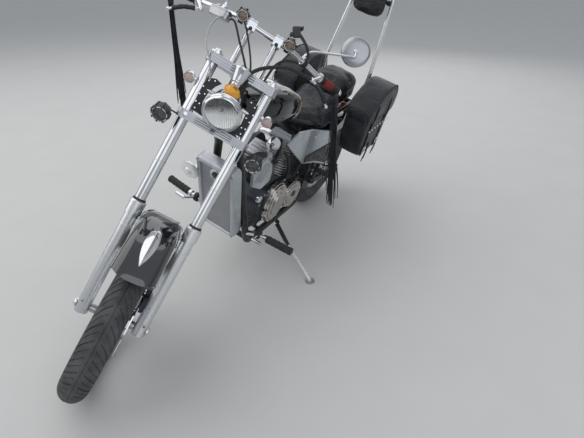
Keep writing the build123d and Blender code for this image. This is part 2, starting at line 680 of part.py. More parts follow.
def rear_axle():
    """The axle with a nut at each end and a spacer each side of the hub."""
    z = REAR_TYRE["radius"]
    shaft = rod((-ARM_X - 24, 0, z), (ARM_X + 24, 0, z), AXLE_RADIUS)
    nuts = [
        extrude(Plane(origin=(way * (ARM_X + 7 + SEAT), 0, z), z_dir=(way, 0, 0)) * RegularPolygon(16, 6), amount=12)
        for way in (-1, 1)
    ]
    spacers = [rod((way * 119, 0, z), (way * (ARM_X - 7 - SEAT), 0, z), 17) for way in (-1, 1)]
    return joined([shaft] + nuts + spacers)


def brake_plate():
    """The fixed plate that closes the rear drum, with its lever."""
    z = REAR_TYRE["radius"]
    plate = turned([(AXLE_RADIUS + SEAT, 0), (84, 0), (84, 8), (60, 14), (AXLE_RADIUS + SEAT, 18)], (-97, 0, z), (-1, 0, 0))
    lever = joined([rod((-105, -50, z + 30), (-121, -50, z + 30), 9), rod((-118, -50, z + 30), (-118, -58, z - 62), 6)])
    return plate + lever


# Wheels
def tyre(sizes, centre):
    """A tyre with a round crown, drawn about the x axis through centre."""
    radius, crown, bead, half = sizes["radius"], sizes["crown"], sizes["bead"], sizes["rim_half"]
    shoulder = radius - crown
    outline = [
        ThreePointArc((-crown, shoulder), (0, radius), (crown, shoulder)),
        ThreePointArc((crown, shoulder), (crown - 3, (shoulder + bead) / 2), (half, bead)),
        Line((half, bead), (-half, bead)),
        ThreePointArc((-half, bead), (3 - crown, (shoulder + bead) / 2), (-crown, shoulder)),
    ]
    face = Plane.XZ * make_face(Curve() + outline)
    return Pos(*centre) * revolve(face, axis=Axis.X)


def wire_wheel(sizes, centre, hub, extras, spokes):
    """Rim, hub and crossed wire spokes, drawn about the x axis through centre."""
    bead, half = sizes["bead"] - SEAT, sizes["rim_half"]
    well = bead - 22
    rim = turned(
        [(bead, half - 2), (bead, -half + 2), (bead - 6, -half + 1), (bead - 7, -half + 12), (well, -half * 0.45),
         (well, half * 0.45), (bead - 7, half - 12), (bead - 6, half - 1)],
        (0, 0, 0), (1, 0, 0),
    )
    body = turned(hub, (0, 0, 0), (1, 0, 0))
    wires = []
    flange_r, flange_x = sizes["flange_radius"], sizes["flange_x"]
    for i in range(spokes):
        angle = 2 * pi * i / spokes
        side = 1 if i % 2 else -1
        lead = radians(52) * (1 if (i // 2) % 2 else -1)
        inner = (side * flange_x, flange_r * cos(angle + lead), flange_r * sin(angle + lead))
        outer = (0, (well + 2) * cos(angle), (well + 2) * sin(angle))
        way = Vector(*outer) - Vector(*inner)
        wires.append(extrude(Plane(origin=inner, z_dir=way) * RegularPolygon(2.4, 4), amount=way.length))
    bore = rod((-200, 0, 0), (200, 0, 0), AXLE_RADIUS + RUN)
    return Pos(*centre) * (joined([rim, body] + wires + extras) - bore)


FRONT_CENTRE = (0, -FORK_OFFSET, -FORK_LENGTH)
REAR_CENTRE = (0, 0, REAR_TYRE["radius"])
DISC_X = 64
DISC_RADIUS = 148
FRONT_TYRE.update(flange_radius=34, flange_x=30)
REAR_TYRE.update(flange_radius=48, flange_x=46)


def front_wheel():
    disc = turned([(62, DISC_X), (DISC_RADIUS, DISC_X), (DISC_RADIUS, DISC_X + 5), (62, DISC_X + 5)], (0, 0, 0), (1, 0, 0))
    carrier = turned([(20, 40), (64, DISC_X - 4), (64, DISC_X), (70, DISC_X), (70, DISC_X + 5), (20, DISC_X + 5)],
                     (0, 0, 0), (1, 0, 0))
    hub = [(5, -60), (24, -60), (24, -40), (40, -32), (40, -27), (24, -20), (24, 20), (40, 27), (40, 32), (26, 42), (26, 68), (5, 68)]
    return wire_wheel(FRONT_TYRE, FRONT_CENTRE, hub, [disc, carrier], 32)


def rear_wheel():
    teeth = 30
    ring = Circle(REAR_SPROCKET_RADIUS - 8)
    sprocket = extrude(Plane.YZ.offset(CHAIN_X - 3) * ring, amount=6, dir=(1, 0, 0))
    carrier = turned([(20, 60), (66, 60), (66, 78), (50, CHAIN_X - 3), (50, CHAIN_X + 3), (20, CHAIN_X + 3)], (0, 0, 0), (1, 0, 0))
    hub = [(5, -96), (86, -96), (90, -60), (60, -50), (56, -44), (32, -36), (32, 36), (56, 44), (60, 50), (60, 62), (30, 118), (5, 118)]
    return wire_wheel(REAR_TYRE, REAR_CENTRE, hub, [sprocket, carrier], 32)


# Front end, in fork space
def clamp_slab(middle):
    """A wide billet clamp: a slab with rounded ends, a boss for the stem and grooves across its face."""
    front = -FORK_OFFSET - CLAMP_DEPTH / 2
    plan = Pos(0, -FORK_OFFSET) * RectangleRounded(CLAMP_WIDTH, CLAMP_DEPTH, 20)
    plan = plan + Pos(0, 0) * Circle(42) + Pos(0, -20) * Rectangle(84, 50)
    slab = Pos(0, 0, middle) * extrude(plan, amount=CLAMP_THICK / 2, both=True)
    grooves = [
        Pos(0, front, middle + dz) * Box(CLAMP_WIDTH - 44, 6, 4) for dz in (-10, 0, 10)
    ]
    bores = [rod((way * FORK_SPACING / 2, -FORK_OFFSET, middle - 40), (way * FORK_SPACING / 2, -FORK_OFFSET, middle + 40),
                 TUBE_RADIUS + SEAT) for way in (-1, 1)]
    return slab.cut(*grooves, *bores)


def lower_clamp():
    """The lower clamp with the steering stem and its top nut."""
    top = CLAMP_SPACING + CLAMP_THICK / 2
    stem = rod((0, 0, -CLAMP_THICK / 2), (0, 0, top + 14), STEM_RADIUS)
    return clamp_slab(0) + stem


def upper_clamp():
    """The upper clamp with the nut that holds the stem."""
    top = CLAMP_SPACING + CLAMP_THICK / 2
    slab = clamp_slab(CLAMP_SPACING)
    nut = Pos(0, 0, top) * extrude(RegularPolygon(27, 6), amount=12)
    return (slab + nut) - rod((0, 0, CLAMP_SPACING - 60), (0, 0, top + 60), STEM_RADIUS + SEAT)


def fork_tubes():
    """Two polished tubes with a cap and a joint ring each."""
    top = CLAMP_SPACING + CLAMP_THICK / 2
    low = -FORK_LENGTH + SLIDER_ABOVE_AXLE - 90
    leg = joined([
        rod((0, 0, low), (0, 0, top + 6), TUBE_RADIUS),
        rod((0, 0, top + SEAT), (0, 0, top + 10), TUBE_RADIUS + 3),
        rod((0, 0, top + 10), (0, 0, top + 20), 14),
        rod((0, 0, -198), (0, 0, -194), TUBE_RADIUS + 0.8),
    ])
    return apart([Pos(way * FORK_SPACING / 2, -FORK_OFFSET, 0) * leg for way in (-1, 1)])


def fork_sliders():
    """Two aluminium lower legs, each with a collar, a fender lug and an axle boss."""
    top = -FORK_LENGTH + SLIDER_ABOVE_AXLE
    legs = []
    for way in (-1, 1):
        x = way * FORK_SPACING / 2
        leg = joined([
            rod((x, -FORK_OFFSET, -FORK_LENGTH - SLIDER_BELOW_AXLE), (x, -FORK_OFFSET, top), SLIDER_RADIUS),
            rod((x, -FORK_OFFSET, top - 44), (x, -FORK_OFFSET, top), SLIDER_RADIUS + 4),
            rod((x, -FORK_OFFSET, top), (x, -FORK_OFFSET, top + 8), SLIDER_RADIUS),
        ])
        well = rod((x, -FORK_OFFSET, top - 100), (x, -FORK_OFFSET, top + 20), TUBE_RADIUS + SEAT)
        bore = rod((x - 60, -FORK_OFFSET, -FORK_LENGTH), (x + 60, -FORK_OFFSET, -FORK_LENGTH), AXLE_RADIUS + SEAT)
        legs.append(leg - well - bore)
    return apart(legs)


def front_axle():
    """The front axle with its spacers and end caps."""
    inner = FORK_SPACING / 2 - SLIDER_RADIUS
    shaft = rod((-148, -FORK_OFFSET, -FORK_LENGTH), (148, -FORK_OFFSET, -FORK_LENGTH), AXLE_RADIUS)
    spacers = [
        rod((-61, -FORK_OFFSET, -FORK_LENGTH), (-inner + 2, -FORK_OFFSET, -FORK_LENGTH), 16),
        rod((69.5, -FORK_OFFSET, -FORK_LENGTH), (inner - 2, -FORK_OFFSET, -FORK_LENGTH), 16),
    ]
    spacers = [spacer.cut(*slider_cores()) for spacer in spacers]
    return joined([shaft] + spacers)


def slider_cores():
    """The sliders' outsides with seat clearance, for cutting seats against them."""
    return [
        rod((way * FORK_SPACING / 2, -FORK_OFFSET, -FORK_LENGTH - 60), (way * FORK_SPACING / 2, -FORK_OFFSET, -300),
            SLIDER_RADIUS + SEAT)
        for way in (-1, 1)
    ]


def tube_cores():
    """The fork tubes' outsides with seat clearance."""
    return [
        rod((way * FORK_SPACING / 2, -FORK_OFFSET, -300), (way * FORK_SPACING / 2, -FORK_OFFSET, 320), TUBE_RADIUS + SEAT)
        for way in (-1, 1)
    ]


def front_caliper():
    """A twin-piston caliper behind the left slider, over the disc."""
    y, z = -FORK_OFFSET + 100, -FORK_LENGTH + 84
    body = block((DISC_X - 22, DISC_X + 30), (y - 30, y + 34), (z - 44, z + 46))
    body = fillet(body.edges().filter_by(Axis.X), 14)
    centre = (-FORK_OFFSET, -FORK_LENGTH)
    slot = rod((DISC_X - 5, *centre), (DISC_X + 10, *centre), DISC_RADIUS + 5)
    bracket = block((DISC_X + 12, FORK_SPACING / 2), (-FORK_OFFSET, y - 10), (z - 26, z + 20))
    return joined([body, bracket]).cut(slot, *slider_cores())


def front_fender():
    """A short round-shouldered fender between the sliders."""
    centre_z = -FORK_LENGTH + FENDER_LIFT
    outer = Rectangle(2 * FENDER_HALF_WIDTH, FENDER_SKIRT)
    outer = fillet(outer.vertices().group_by(Axis.Y)[-1], 26)
    inner = Pos(0, -FENDER_WALL) * Rectangle(2 * (FENDER_HALF_WIDTH - FENDER_WALL), FENDER_SKIRT)
    inner = fillet(inner.vertices().group_by(Axis.Y)[-1], 26 - FENDER_WALL)
    section = Plane.XZ * Pos(0, FENDER_RADIUS - FENDER_SKIRT / 2) * (outer - inner)
    shell = revolve(Rot(FENDER_REAR_ANGLE, 0, 0) * section, axis=Axis.X, revolution_arc=FENDER_FRONT_ANGLE - FENDER_REAR_ANGLE)
    shell = Pos(0, -FORK_OFFSET, centre_z) * shell
    low = centre_z + FENDER_RADIUS - FENDER_SKIRT + 6
    lugs = both(block((FENDER_HALF_WIDTH - 1, FORK_SPACING / 2), (-FORK_OFFSET - 16, -FORK_OFFSET + 16), (low - 8, low + 8)))
    lugs = [lug.cut(*slider_cores()) for lug in lugs]
    return joined([shell] + lugs)


def fender_ornament():
    """A raised teardrop on the crown of the fender."""
    middle = 34
    outline = Curve() + [ThreePointArc((0, -66), (21, 8), (0, 66)), ThreePointArc((0, 66), (-21, 8), (0, -66))]
    drop = extrude(make_face(outline), amount=34, taper=24)
    place = Pos(0, -FORK_OFFSET, -FORK_LENGTH + FENDER_LIFT) * Rot(middle, 0, 0) * Pos(0, 0, FENDER_RADIUS - 12)
    crown = rod((-60, -FORK_OFFSET, -FORK_LENGTH + FENDER_LIFT), (60, -FORK_OFFSET, -FORK_LENGTH + FENDER_LIFT), FENDER_RADIUS + SEAT)
    return (place * drop) - crown


LAMP_CENTRE = (0, -168, 66)
LAMP_WAY = (0, -cos(radians(RAKE)), -sin(radians(RAKE)))
LAMP_RADIUS = 72


def headlight():
    """The chrome bucket with its rim and the arms that hold it to the fork tubes."""
    shell = turned(
        [(LAMP_RADIUS - 8, 12), (LAMP_RADIUS, 10), (LAMP_RADIUS + 2, 0), (LAMP_RADIUS - 2, -12), (LAMP_RADIUS - 6, -30),
         (56, -78), (30, -106), (0, -112), (0, -20), (LAMP_RADIUS - 8, -8)],
        LAMP_CENTRE, LAMP_WAY,
    )
    arms = both(rod((40, -88, 118), (FORK_SPACING / 2, -74, 118), 8))
    arms = [arm.cut(*tube_cores()) for arm in arms]
    return joined([shell] + arms)


def headlight_lens():
    """The domed glass inside the rim."""
    r = LAMP_RADIUS - 8 - SEAT
    return turned([(0, -7), (r - 2, -7 + 0), (r, -5), (r, 9), (r * 0.7, 16), (r * 0.35, 19), (0, 20)], LAMP_CENTRE, LAMP_WAY)


def leather_wings():
    """Two flat guards beside the headlight, hung on the fork tubes."""
    y = -FORK_OFFSET - 15
    outline = [(52, 30), (96, 32), (114, 62), (114, 138), (102, 158), (46, 160), (76, 104)]
    face = make_face(Plane(origin=(0, y, 0), x_dir=(1, 0, 0), z_dir=(0, -1, 0)) * Polyline(*outline, close=True))
    face = fillet(face.vertices(), 7)
    bucket = turned([(0, -116), (34, -110), (60, -80), (LAMP_RADIUS + 5, -30), (LAMP_RADIUS + 5, 0), (0, 0)], LAMP_CENTRE, LAMP_WAY)
    arm = rod((40, -88, 118), (FORK_SPACING / 2, -74, 118), 8 + SEAT)
    wing = extrude(face, amount=4, dir=(0, -1, 0)).cut(*tube_cores(), bucket, arm)
    return apart(both(seated(wing)))


def small_lamps():
    """A spot lamp on each end of the lower clamp and a signal lamp on each fork tube."""
    way = Vector(*LAMP_WAY)
    end = CLAMP_WIDTH / 2 + SEAT
    place = Plane(origin=(190, -96, -30), x_dir=(1, 0, 0), z_dir=LAMP_WAY).location
    body = place * turned([(0, -26), (16, -26), (30, -14), (33, 6), (33, 22), (0, 22)], (0, 0, 0), (0, 0, 1))
    rim = place * Pos(0, 0, 24) * extrude(Circle(28), amount=6, both=True)
    bracket = block((end, 196), (-88, -64), (-12, -4))
    post = block((180, 200), (-100, -64), (-30, -4))
    signal = turned([(0, -24), (10, -22), (19, -6), (20, 14), (14, 20), (0, 22)], (163, -72, 132), LAMP_WAY)
    stalk = rod((FORK_SPACING / 2, -FORK_OFFSET, 132), (163, -FORK_OFFSET, 132), 6).cut(*tube_cores())
    spot = joined([body, rim, bracket, post])
    return apart(both(spot) + both(signal + stalk))


BAR_MIDDLE = (0, 40, 432)
BAR_POINTS = [(120, 40, 432), (205, 88, 430), (275, 128, 425), (410, 182, 425)]
BAR_RADIUS = 11


def risers():
    """Two tall posts on the upper clamp, each with a split block that grips the bar."""
    top = CLAMP_SPACING + CLAMP_THICK / 2 + SEAT
    posts = []
    for way in (-1, 1):
        x = way * 58
        post = rod((x, -8, top), (x, 34, BAR_MIDDLE[2] - 14), 13)
        foot = rod((x, -8, top), (x, -8, top + 12), 19)
        grip = block((x - 17, x + 17), (BAR_MIDDLE[1] - 21, BAR_MIDDLE[1] + 21), (BAR_MIDDLE[2] - 28, BAR_MIDDLE[2] + 22))
        grip = fillet(grip.edges().filter_by(Axis.X), 11)
        posts.append(joined([post, foot, grip]))
    clear = rod((-120, BAR_MIDDLE[1], BAR_MIDDLE[2]), (120, BAR_MIDDLE[1], BAR_MIDDLE[2]), BAR_RADIUS + SEAT)
    cap = block((-200, 200), (-80, 200), (CLAMP_SPACING - 40, top))
    return apart([(post - clear) - cap for post in posts])


def handlebar(extra=0):
    """One bent bar from grip to grip."""
    points = [(-x, y, z) for x, y, z in reversed(BAR_POINTS)] + BAR_POINTS
    return pipe(points, BAR_RADIUS + extra, 48)


def bar_way():
    """Start, end and heading of the left grip."""
    start, end = Vector(*BAR_POINTS[-2]), Vector(*BAR_POINTS[-1])
    return start, end, (end - start).normalized()


def bar_sleeve(start, end, radius):
    """A sleeve about the grip end of the bar, between two distances from the last bend."""
    base, tip, way = bar_way()
    low = base + way * start
    body = extrude(Plane(origin=low, z_dir=way) * Circle(radius), amount=end - start)
    hole = extrude(Plane(origin=base + way * (start - 5), z_dir=way) * Circle(BAR_RADIUS + SEAT), amount=end - start + 10)
    return body - hole


def grips():
    """Fat rubber grips with a flange."""
    length = (bar_way()[1] - bar_way()[0]).length
    grip = bar_sleeve(26, length - 2, 17) + bar_sleeve(24, 32, 22)
    return apart(both(grip))


def bar_controls():
    """Switch housings, levers and, on the right, the brake reservoir."""
    base, tip, way = bar_way()
    housing = bar_sleeve(4, 22, 21)
    hand = [base + way * 14 + Vector(-30, -60, -38), Vector(312, 62, 362), Vector(366, 70, 322)]
    blade = joined([rod(hand[0], hand[1], 7), rod(hand[1], hand[2], 7), Pos(*hand[1]) * Sphere(7), Pos(*hand[2]) * Sphere(9)])
    arm = rod(base + way * 14 + Vector(0, -15, -2), hand[0], 7)
    left = joined([housing, arm, Pos(*hand[0]) * Sphere(9), blade])
    tank = Pos(-184, 44, 404) * Rot(0, 0, -30) * Box(92, 44, 34)
    tank = fillet(tank.edges(), 6)
    lid = Pos(-184, 44, 423) * Rot(0, 0, -30) * Box(80, 36, 6)
    hole = handlebar(SEAT)
    reservoir = seated(joined([tank, lid, rod((-184, 52, 404), (-190, 79, 428), 12)]) - hole)
    return apart([left.cut(hole), mirror(left, Plane.YZ).cut(hole), reservoir])


def mirrors():
    """Round mirrors on thin bent stems."""
    shell = turned([(0, -2), (58, -2), (60, 4), (52, 16), (22, 26), (0, 28)], (352, 28, 566), (-0.25, -0.95, -0.1))
    stem = pipe([(184, 77, 446), (184, 77, 492), (290, 34, 540), (352, 14, 562)], 5, 24)
    foot = rod((184, 77, 431), (184, 77, 452), 9)
    return apart(both(seated(joined([shell, stem, foot]).cut(handlebar(SEAT)))))


def speedometer():
    """A tapered chrome cup in front of the upper clamp."""
    front = -FORK_OFFSET - CLAMP_DEPTH / 2 - SEAT
    cup = turned([(0, -62), (17, -62), (24, -34), (31, 0), (31, 5), (27, 8), (0, 8)], (-6, front - 34, 234), (0, 0.06, 1))
    foot = block((-18, 6), (front - 20, front), (CLAMP_SPACING - 10, CLAMP_SPACING + 2))
    return cup + foot


def bar_lamps():
    """Two small round lamps on brackets in front of the bar, outside the risers."""
    lamps = []
    for way in (-1, 1):
        x = way * 104
        cup = turned([(0, -20), (13, -20), (21, -8), (24, 10), (24, 18), (20, 22), (0, 20)], (x, 4, 444), LAMP_WAY)
        arm = rod((x, 14, 446), (x, BAR_MIDDLE[1], BAR_MIDDLE[2]), 8)
        ring = rod((x - 9, BAR_MIDDLE[1], BAR_MIDDLE[2]), (x + 9, BAR_MIDDLE[1], BAR_MIDDLE[2]), BAR_RADIUS + 5)
        lamps.append(seated(joined([cup, arm, ring]) - handlebar(SEAT)))
    return apart(lamps)


def cables():
    """Control cables that stay on the steered part, from the bars down beside the headlight."""
    routes = [
        ([(-143.9, 20.8, 404), (-104, -2.2, 404), (-76, -70, 300), (-84, -128, 240), (-88, -122, 170), (-70, -109, 4)], 4.5),
        ([(249.9, 68.2, 385.9), (170, 26, 372), (64, -84, 352), (64, -84, CLAMP_SPACING + CLAMP_THICK / 2 + SEAT)], 5.5),
    ]
    return apart([pipe(points, radius, 34) for points, radius in routes])


def tassels():
    """Leather fringes that hang straight down from the lever ends when the machine is parked."""
    steered = PARKED * FORK_PLACE * Rot(0, 0, STEERED)
    base, tip, way = bar_way()
    fringes = []
    for side, length in ((1, 560), (-1, 520)):
        hang = tip - way * 12
        grip = (steered * Pos(side * hang.X, hang.Y, hang.Z)).position
        top = (steered * Pos(side * (tip.X - 4), tip.Y - 48, tip.Z - 38)).position
        low = top - Vector(0, 0, length)
        strands = loft([
            Plane(origin=low) * Rectangle(46, 30),
            Plane(origin=top - Vector(0, 0, 40)) * Rectangle(30, 20),
            Plane(origin=top) * Rectangle(12, 12),
        ], ruled=True)
        thong = rod(top - (grip - top).normalized() * 3, grip, 5)
        core = rod(base, tip + way * 30, 17 + SEAT)
        core = core if side > 0 else mirror(core, Plane.YZ)
        fringes.append(seated((steered.inverse() * (strands + thong)) - core))
    return apart(fringes)


# Side stand, drawn in bike space with its foot flat on the floor of the parked machine
STAND_STOWED = Vector(0.15, 0.985, 0.03).normalized()


def stand_out():
    """The way the leg points from its pivot when it is down, and the foot's middle on the floor."""
    foot = (PARKED.inverse() * Pos(STAND_FOOT[0], STAND_FOOT[1], 0)).position
    return (foot - Vector(*STAND_PIVOT)).normalized(), foot


def stand_hinge():
    """Pivot and axis: turning the leg about the axis folds it back along the machine."""
    return Vector(*STAND_PIVOT), stand_out()[0].cross(STAND_STOWED).normalized()


def stand_fold():
    """How far the leg folds, in degrees."""
    return degrees(acos(stand_out()[0].dot(STAND_STOWED)))


def side_stand():
    """A leg from the lug to a flat foot, with the boss it folds on."""
    pivot, axis = stand_hinge()
    foot = stand_out()[1]
    up = (PARKED.inverse() * Pos(0, 0, 1)).position - PARKED.inverse().position
    ankle = foot + up * 9
    boss = extrude(Plane(origin=pivot - axis * 10, z_dir=axis) * Circle(14), amount=20)
    elbow = pivot + (ankle - pivot) * 0.28 - up * 12
    leg = joined([rod(pivot, elbow, 9), Pos(*elbow) * Sphere(9), rod(elbow, ankle, 7)])
    pad = extrude(Plane(origin=foot, z_dir=up) * Circle(26), amount=7)
    bore = rod(pivot - axis * 30, pivot + axis * 30, STAND_PIN + RUN)
    floor = extrude(Plane(origin=foot, z_dir=up) * Rectangle(400, 400), amount=-100)
    return joined([boss, leg, pad]) - bore - floor


# Every piece, its maker and where it is carried
FRAME_PIECES = {
    "frame_tubes": frame_tubes,
    "swingarm": swingarm,
    "crankcase": crankcase,
    "front_cylinder": lambda: cylinder(-1),
    "rear_cylinder": lambda: cylinder(1),
    "front_head": lambda: head(-1),
    "rear_head": lambda: head(1),
    "left_covers": left_covers,
    "right_covers": right_covers,
    "air_cleaner": air_cleaner,
    "exhausts": exhausts,
    "radiator": radiator,
    "radiator_shell": radiator_shell,
    "horn": horn,
    "fuel_tank": fuel_tank,
    "rider_seat": rider_seat,
    "pillion_seat": pillion_seat,
    "side_covers": side_covers,
    "rear_fender": rear_fender,
    "sissy_bar": sissy_bar,
    "backrest_pad": backrest_pad,
    "saddlebag_left": saddlebag,
    "saddlebag_right": lambda: mirror(saddlebag(), Plane.YZ),
    "left_foot_control": foot_controls,
    "right_foot_control": lambda: mirror(foot_controls(), Plane.YZ),
    "passenger_pegs": passenger_pegs,
    "tail_lamp": tail_lamp,
    "plate_bracket": plate_bracket,
    "chain": chain,
    "rear_axle": rear_axle,
    "brake_plate": brake_plate,
}
STEERED_PIECES = {
    "lower_clamp": lower_clamp,
    "upper_clamp": upper_clamp,
    "fork_tubes": fork_tubes,
    "fork_sliders": fork_sliders,
    "front_axle": front_axle,
    "front_caliper": front_caliper,
    "front_fender": front_fender,
    "fender_ornament": fender_ornament,
    "headlight": headlight,
    "headlight_lens": headlight_lens,
    "leather_wings": leather_wings,
    "small_lamps": small_lamps,
    "speedometer": speedometer,
    "risers": risers,
    "handlebar": handlebar,
    "grips": grips,
    "bar_controls": bar_controls,
    "mirrors": mirrors,
    "bar_lamps": bar_lamps,
    "cables": cables,
    "tassels": tassels,
}
FRONT_WHEEL_PIECES = {"front_tyre": lambda: tyre(FRONT_TYRE, FRONT_CENTRE), "front_wheel": front_wheel}
REAR_WHEEL_PIECES = {"rear_tyre": lambda: tyre(REAR_TYRE, REAR_CENTRE), "rear_wheel": rear_wheel}

STEERED_PLACE = PARKED * FORK_PLACE * Rot(0, 0, STEERED)
pieces = {}
for name, make in {**FRAME_PIECES, **REAR_WHEEL_PIECES}.items():
    pieces[name] = PARKED * make()
for name, make in {**STEERED_PIECES, **FRONT_WHEEL_PIECES}.items():
    pieces[name] = STEERED_PLACE * make()
pieces["side_stand"] = PARKED * side_stand()

# The row's origin is under the middle of the whole machine
low_corner = [min(getattr(piece.bounding_box().min, axis) for piece in pieces.values()) for axis in "XYZ"]
high_corner = [max(getattr(piece.bounding_box().max, axis) for piece in pieces.values()) for axis in "XYZ"]
ORIGIN = ((low_corner[0] + high_corner[0]) / 2, (low_corner[1] + high_corner[1]) / 2, 0)
TO_ROW = Pos(-ORIGIN[0], -ORIGIN[1], 0)

for name, piece in pieces.items():
    export_step(TO_ROW * piece, f"parts/{name}.step")
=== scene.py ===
# %% [markdown]
# # A long-fork chopper, leaning on its side stand
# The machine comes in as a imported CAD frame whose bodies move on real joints. This lesson dresses it.
# Shapes that the CAD already has right keep their mesh and get a finish; soft, thin or repeated things
# are made here and ride on the body that carries them.

# %% Load the frame
import json
import bmesh
import bpy
import numpy as np
from math import atan2, copysign, cos, pi, radians, sin
from mathutils import Matrix, Vector, noise


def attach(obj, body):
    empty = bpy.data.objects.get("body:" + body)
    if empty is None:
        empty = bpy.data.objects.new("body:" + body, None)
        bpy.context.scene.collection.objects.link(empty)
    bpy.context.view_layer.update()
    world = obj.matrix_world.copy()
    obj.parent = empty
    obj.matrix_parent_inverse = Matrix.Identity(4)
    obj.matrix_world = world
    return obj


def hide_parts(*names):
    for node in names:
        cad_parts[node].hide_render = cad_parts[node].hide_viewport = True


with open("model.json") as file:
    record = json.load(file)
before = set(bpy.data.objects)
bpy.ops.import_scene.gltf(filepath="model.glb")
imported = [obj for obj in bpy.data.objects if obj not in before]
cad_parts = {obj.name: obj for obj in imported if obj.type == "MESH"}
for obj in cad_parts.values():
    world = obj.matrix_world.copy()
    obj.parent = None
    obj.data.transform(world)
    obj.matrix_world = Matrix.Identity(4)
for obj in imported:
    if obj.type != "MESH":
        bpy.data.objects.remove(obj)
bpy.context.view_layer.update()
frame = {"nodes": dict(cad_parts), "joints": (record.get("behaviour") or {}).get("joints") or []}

# %% [markdown]
# ## Two drawing boards
# A parked motorcycle leans, and its fork is raked and turned. Drawing in those tilted directions would be
# slow, so every piece is drawn upright in millimetres on one of two boards: the machine's own (origin on the
# ground under the rear axle, X to the rider's left, Y back, Z up) and the fork's (origin in the lower clamp,
# Z up the steering axis). One matrix each then carries the drawing into the frame, read from the joints.

# %% Drawing boards
LEAN, PITCH, RAKE, STEERED = radians(15.9), radians(0.516241), radians(36), radians(30)
REAR_RADIUS = 326
FORK_LENGTH, FORK_OFFSET, TUBE_X, CLAMP_RISE = 825, 68, 116.5, 231
MILLIMETRE = Matrix.Scale(0.001, 4)
joints = {joint["name"]: joint for joint in frame["joints"]}
upright = Matrix.Rotation(PITCH, 4, "X") @ Matrix.Rotation(LEAN, 4, "Y")
rear_axle = Vector(joints["rear_wheel_spin"]["pos_m"])
contact = rear_axle - upright @ Vector((0, 0, REAR_RADIUS / 1000))
BIKE = Matrix.Translation(contact) @ upright @ MILLIMETRE
FORK = (
    Matrix.Translation(Vector(joints["steering_turn"]["pos_m"])) @ upright
    @ Matrix.Rotation(-RAKE, 4, "X") @ Matrix.Rotation(STEERED, 4, "Z") @ MILLIMETRE
)
FRONT_CENTRE, REAR_CENTRE = Vector((0, -FORK_OFFSET, -FORK_LENGTH)), Vector((0, 0, REAR_RADIUS))
print("rear contact", [round(v, 4) for v in contact])

# %% [markdown]
# ## The camera
# The picture was taken standing in front of the left side, a little above the bars, with a wide lens. The
# field of view and the place come from a fit of one camera through marked points of the machine.

# %% Camera
FOCAL_PIXELS, PICTURE_WIDTH = 446.06, 584
EYE_FROM_GROUND, EYE_SINK = Vector((1.38567, -2.51952, 1.51006)), Vector((0, 0, 0.0032655))
HEADING, LOOK_DOWN, ROLL = 30.4, 30.66, 0.21
camera = bpy.data.cameras.new("viewer")
camera.sensor_width = 36
camera.lens = FOCAL_PIXELS * camera.sensor_width / PICTURE_WIDTH
camera_object = bpy.data.objects.new("viewer", camera)
bpy.context.scene.collection.objects.link(camera_object)
eye = contact - EYE_SINK + EYE_FROM_GROUND
camera_object.matrix_world = (
    Matrix.Translation(eye) @ Matrix.Rotation(radians(HEADING), 4, "Z")
    @ Matrix.Rotation(radians(90 - LOOK_DOWN), 4, "X") @ Matrix.Rotation(radians(ROLL), 4, "Z")
)
bpy.context.scene.camera = camera_object
print("camera at", [round(v, 3) for v in eye])

# %% [markdown]
# ## Shader maths as expressions
# A finish mixes a few noises, and its nodes are easier to read as a formula than as a list of links. One
# class wraps a socket so that * and + add Math nodes; another adds any node with its settings and sockets.

# %% Shader helper
class Wire:
    """An output socket with arithmetic: an expression on wires adds its Math nodes."""

    def __init__(self, graph, socket):
        self.graph, self.socket = graph, socket

    def _math(self, operation, first, second):
        return self.graph.node("ShaderNodeMath", {"operation": operation}, {0: first, 1: second})[0]

    def __add__(self, other):
        return self._math("ADD", self, other)

    def __sub__(self, other):
        return self._math("SUBTRACT", self, other)

    def __rsub__(self, other):
        return self._math("SUBTRACT", other, self)

    def __mul__(self, other):
        return self._math("MULTIPLY", self, other)

    def __truediv__(self, other):
        return self._math("DIVIDE", self, other)

    __radd__ = __add__
    __rmul__ = __mul__

    def wave(self):
        return self._math("SINE", self, 0)


class Made:
    """A node just added; indexing it gives an output as a wire."""

    def __init__(self, graph, node):
        self.graph, self.raw = graph, node

    def __getitem__(self, key):
        return Wire(self.graph, self.raw.outputs[key])


print("wires add, subtract, multiply and divide")


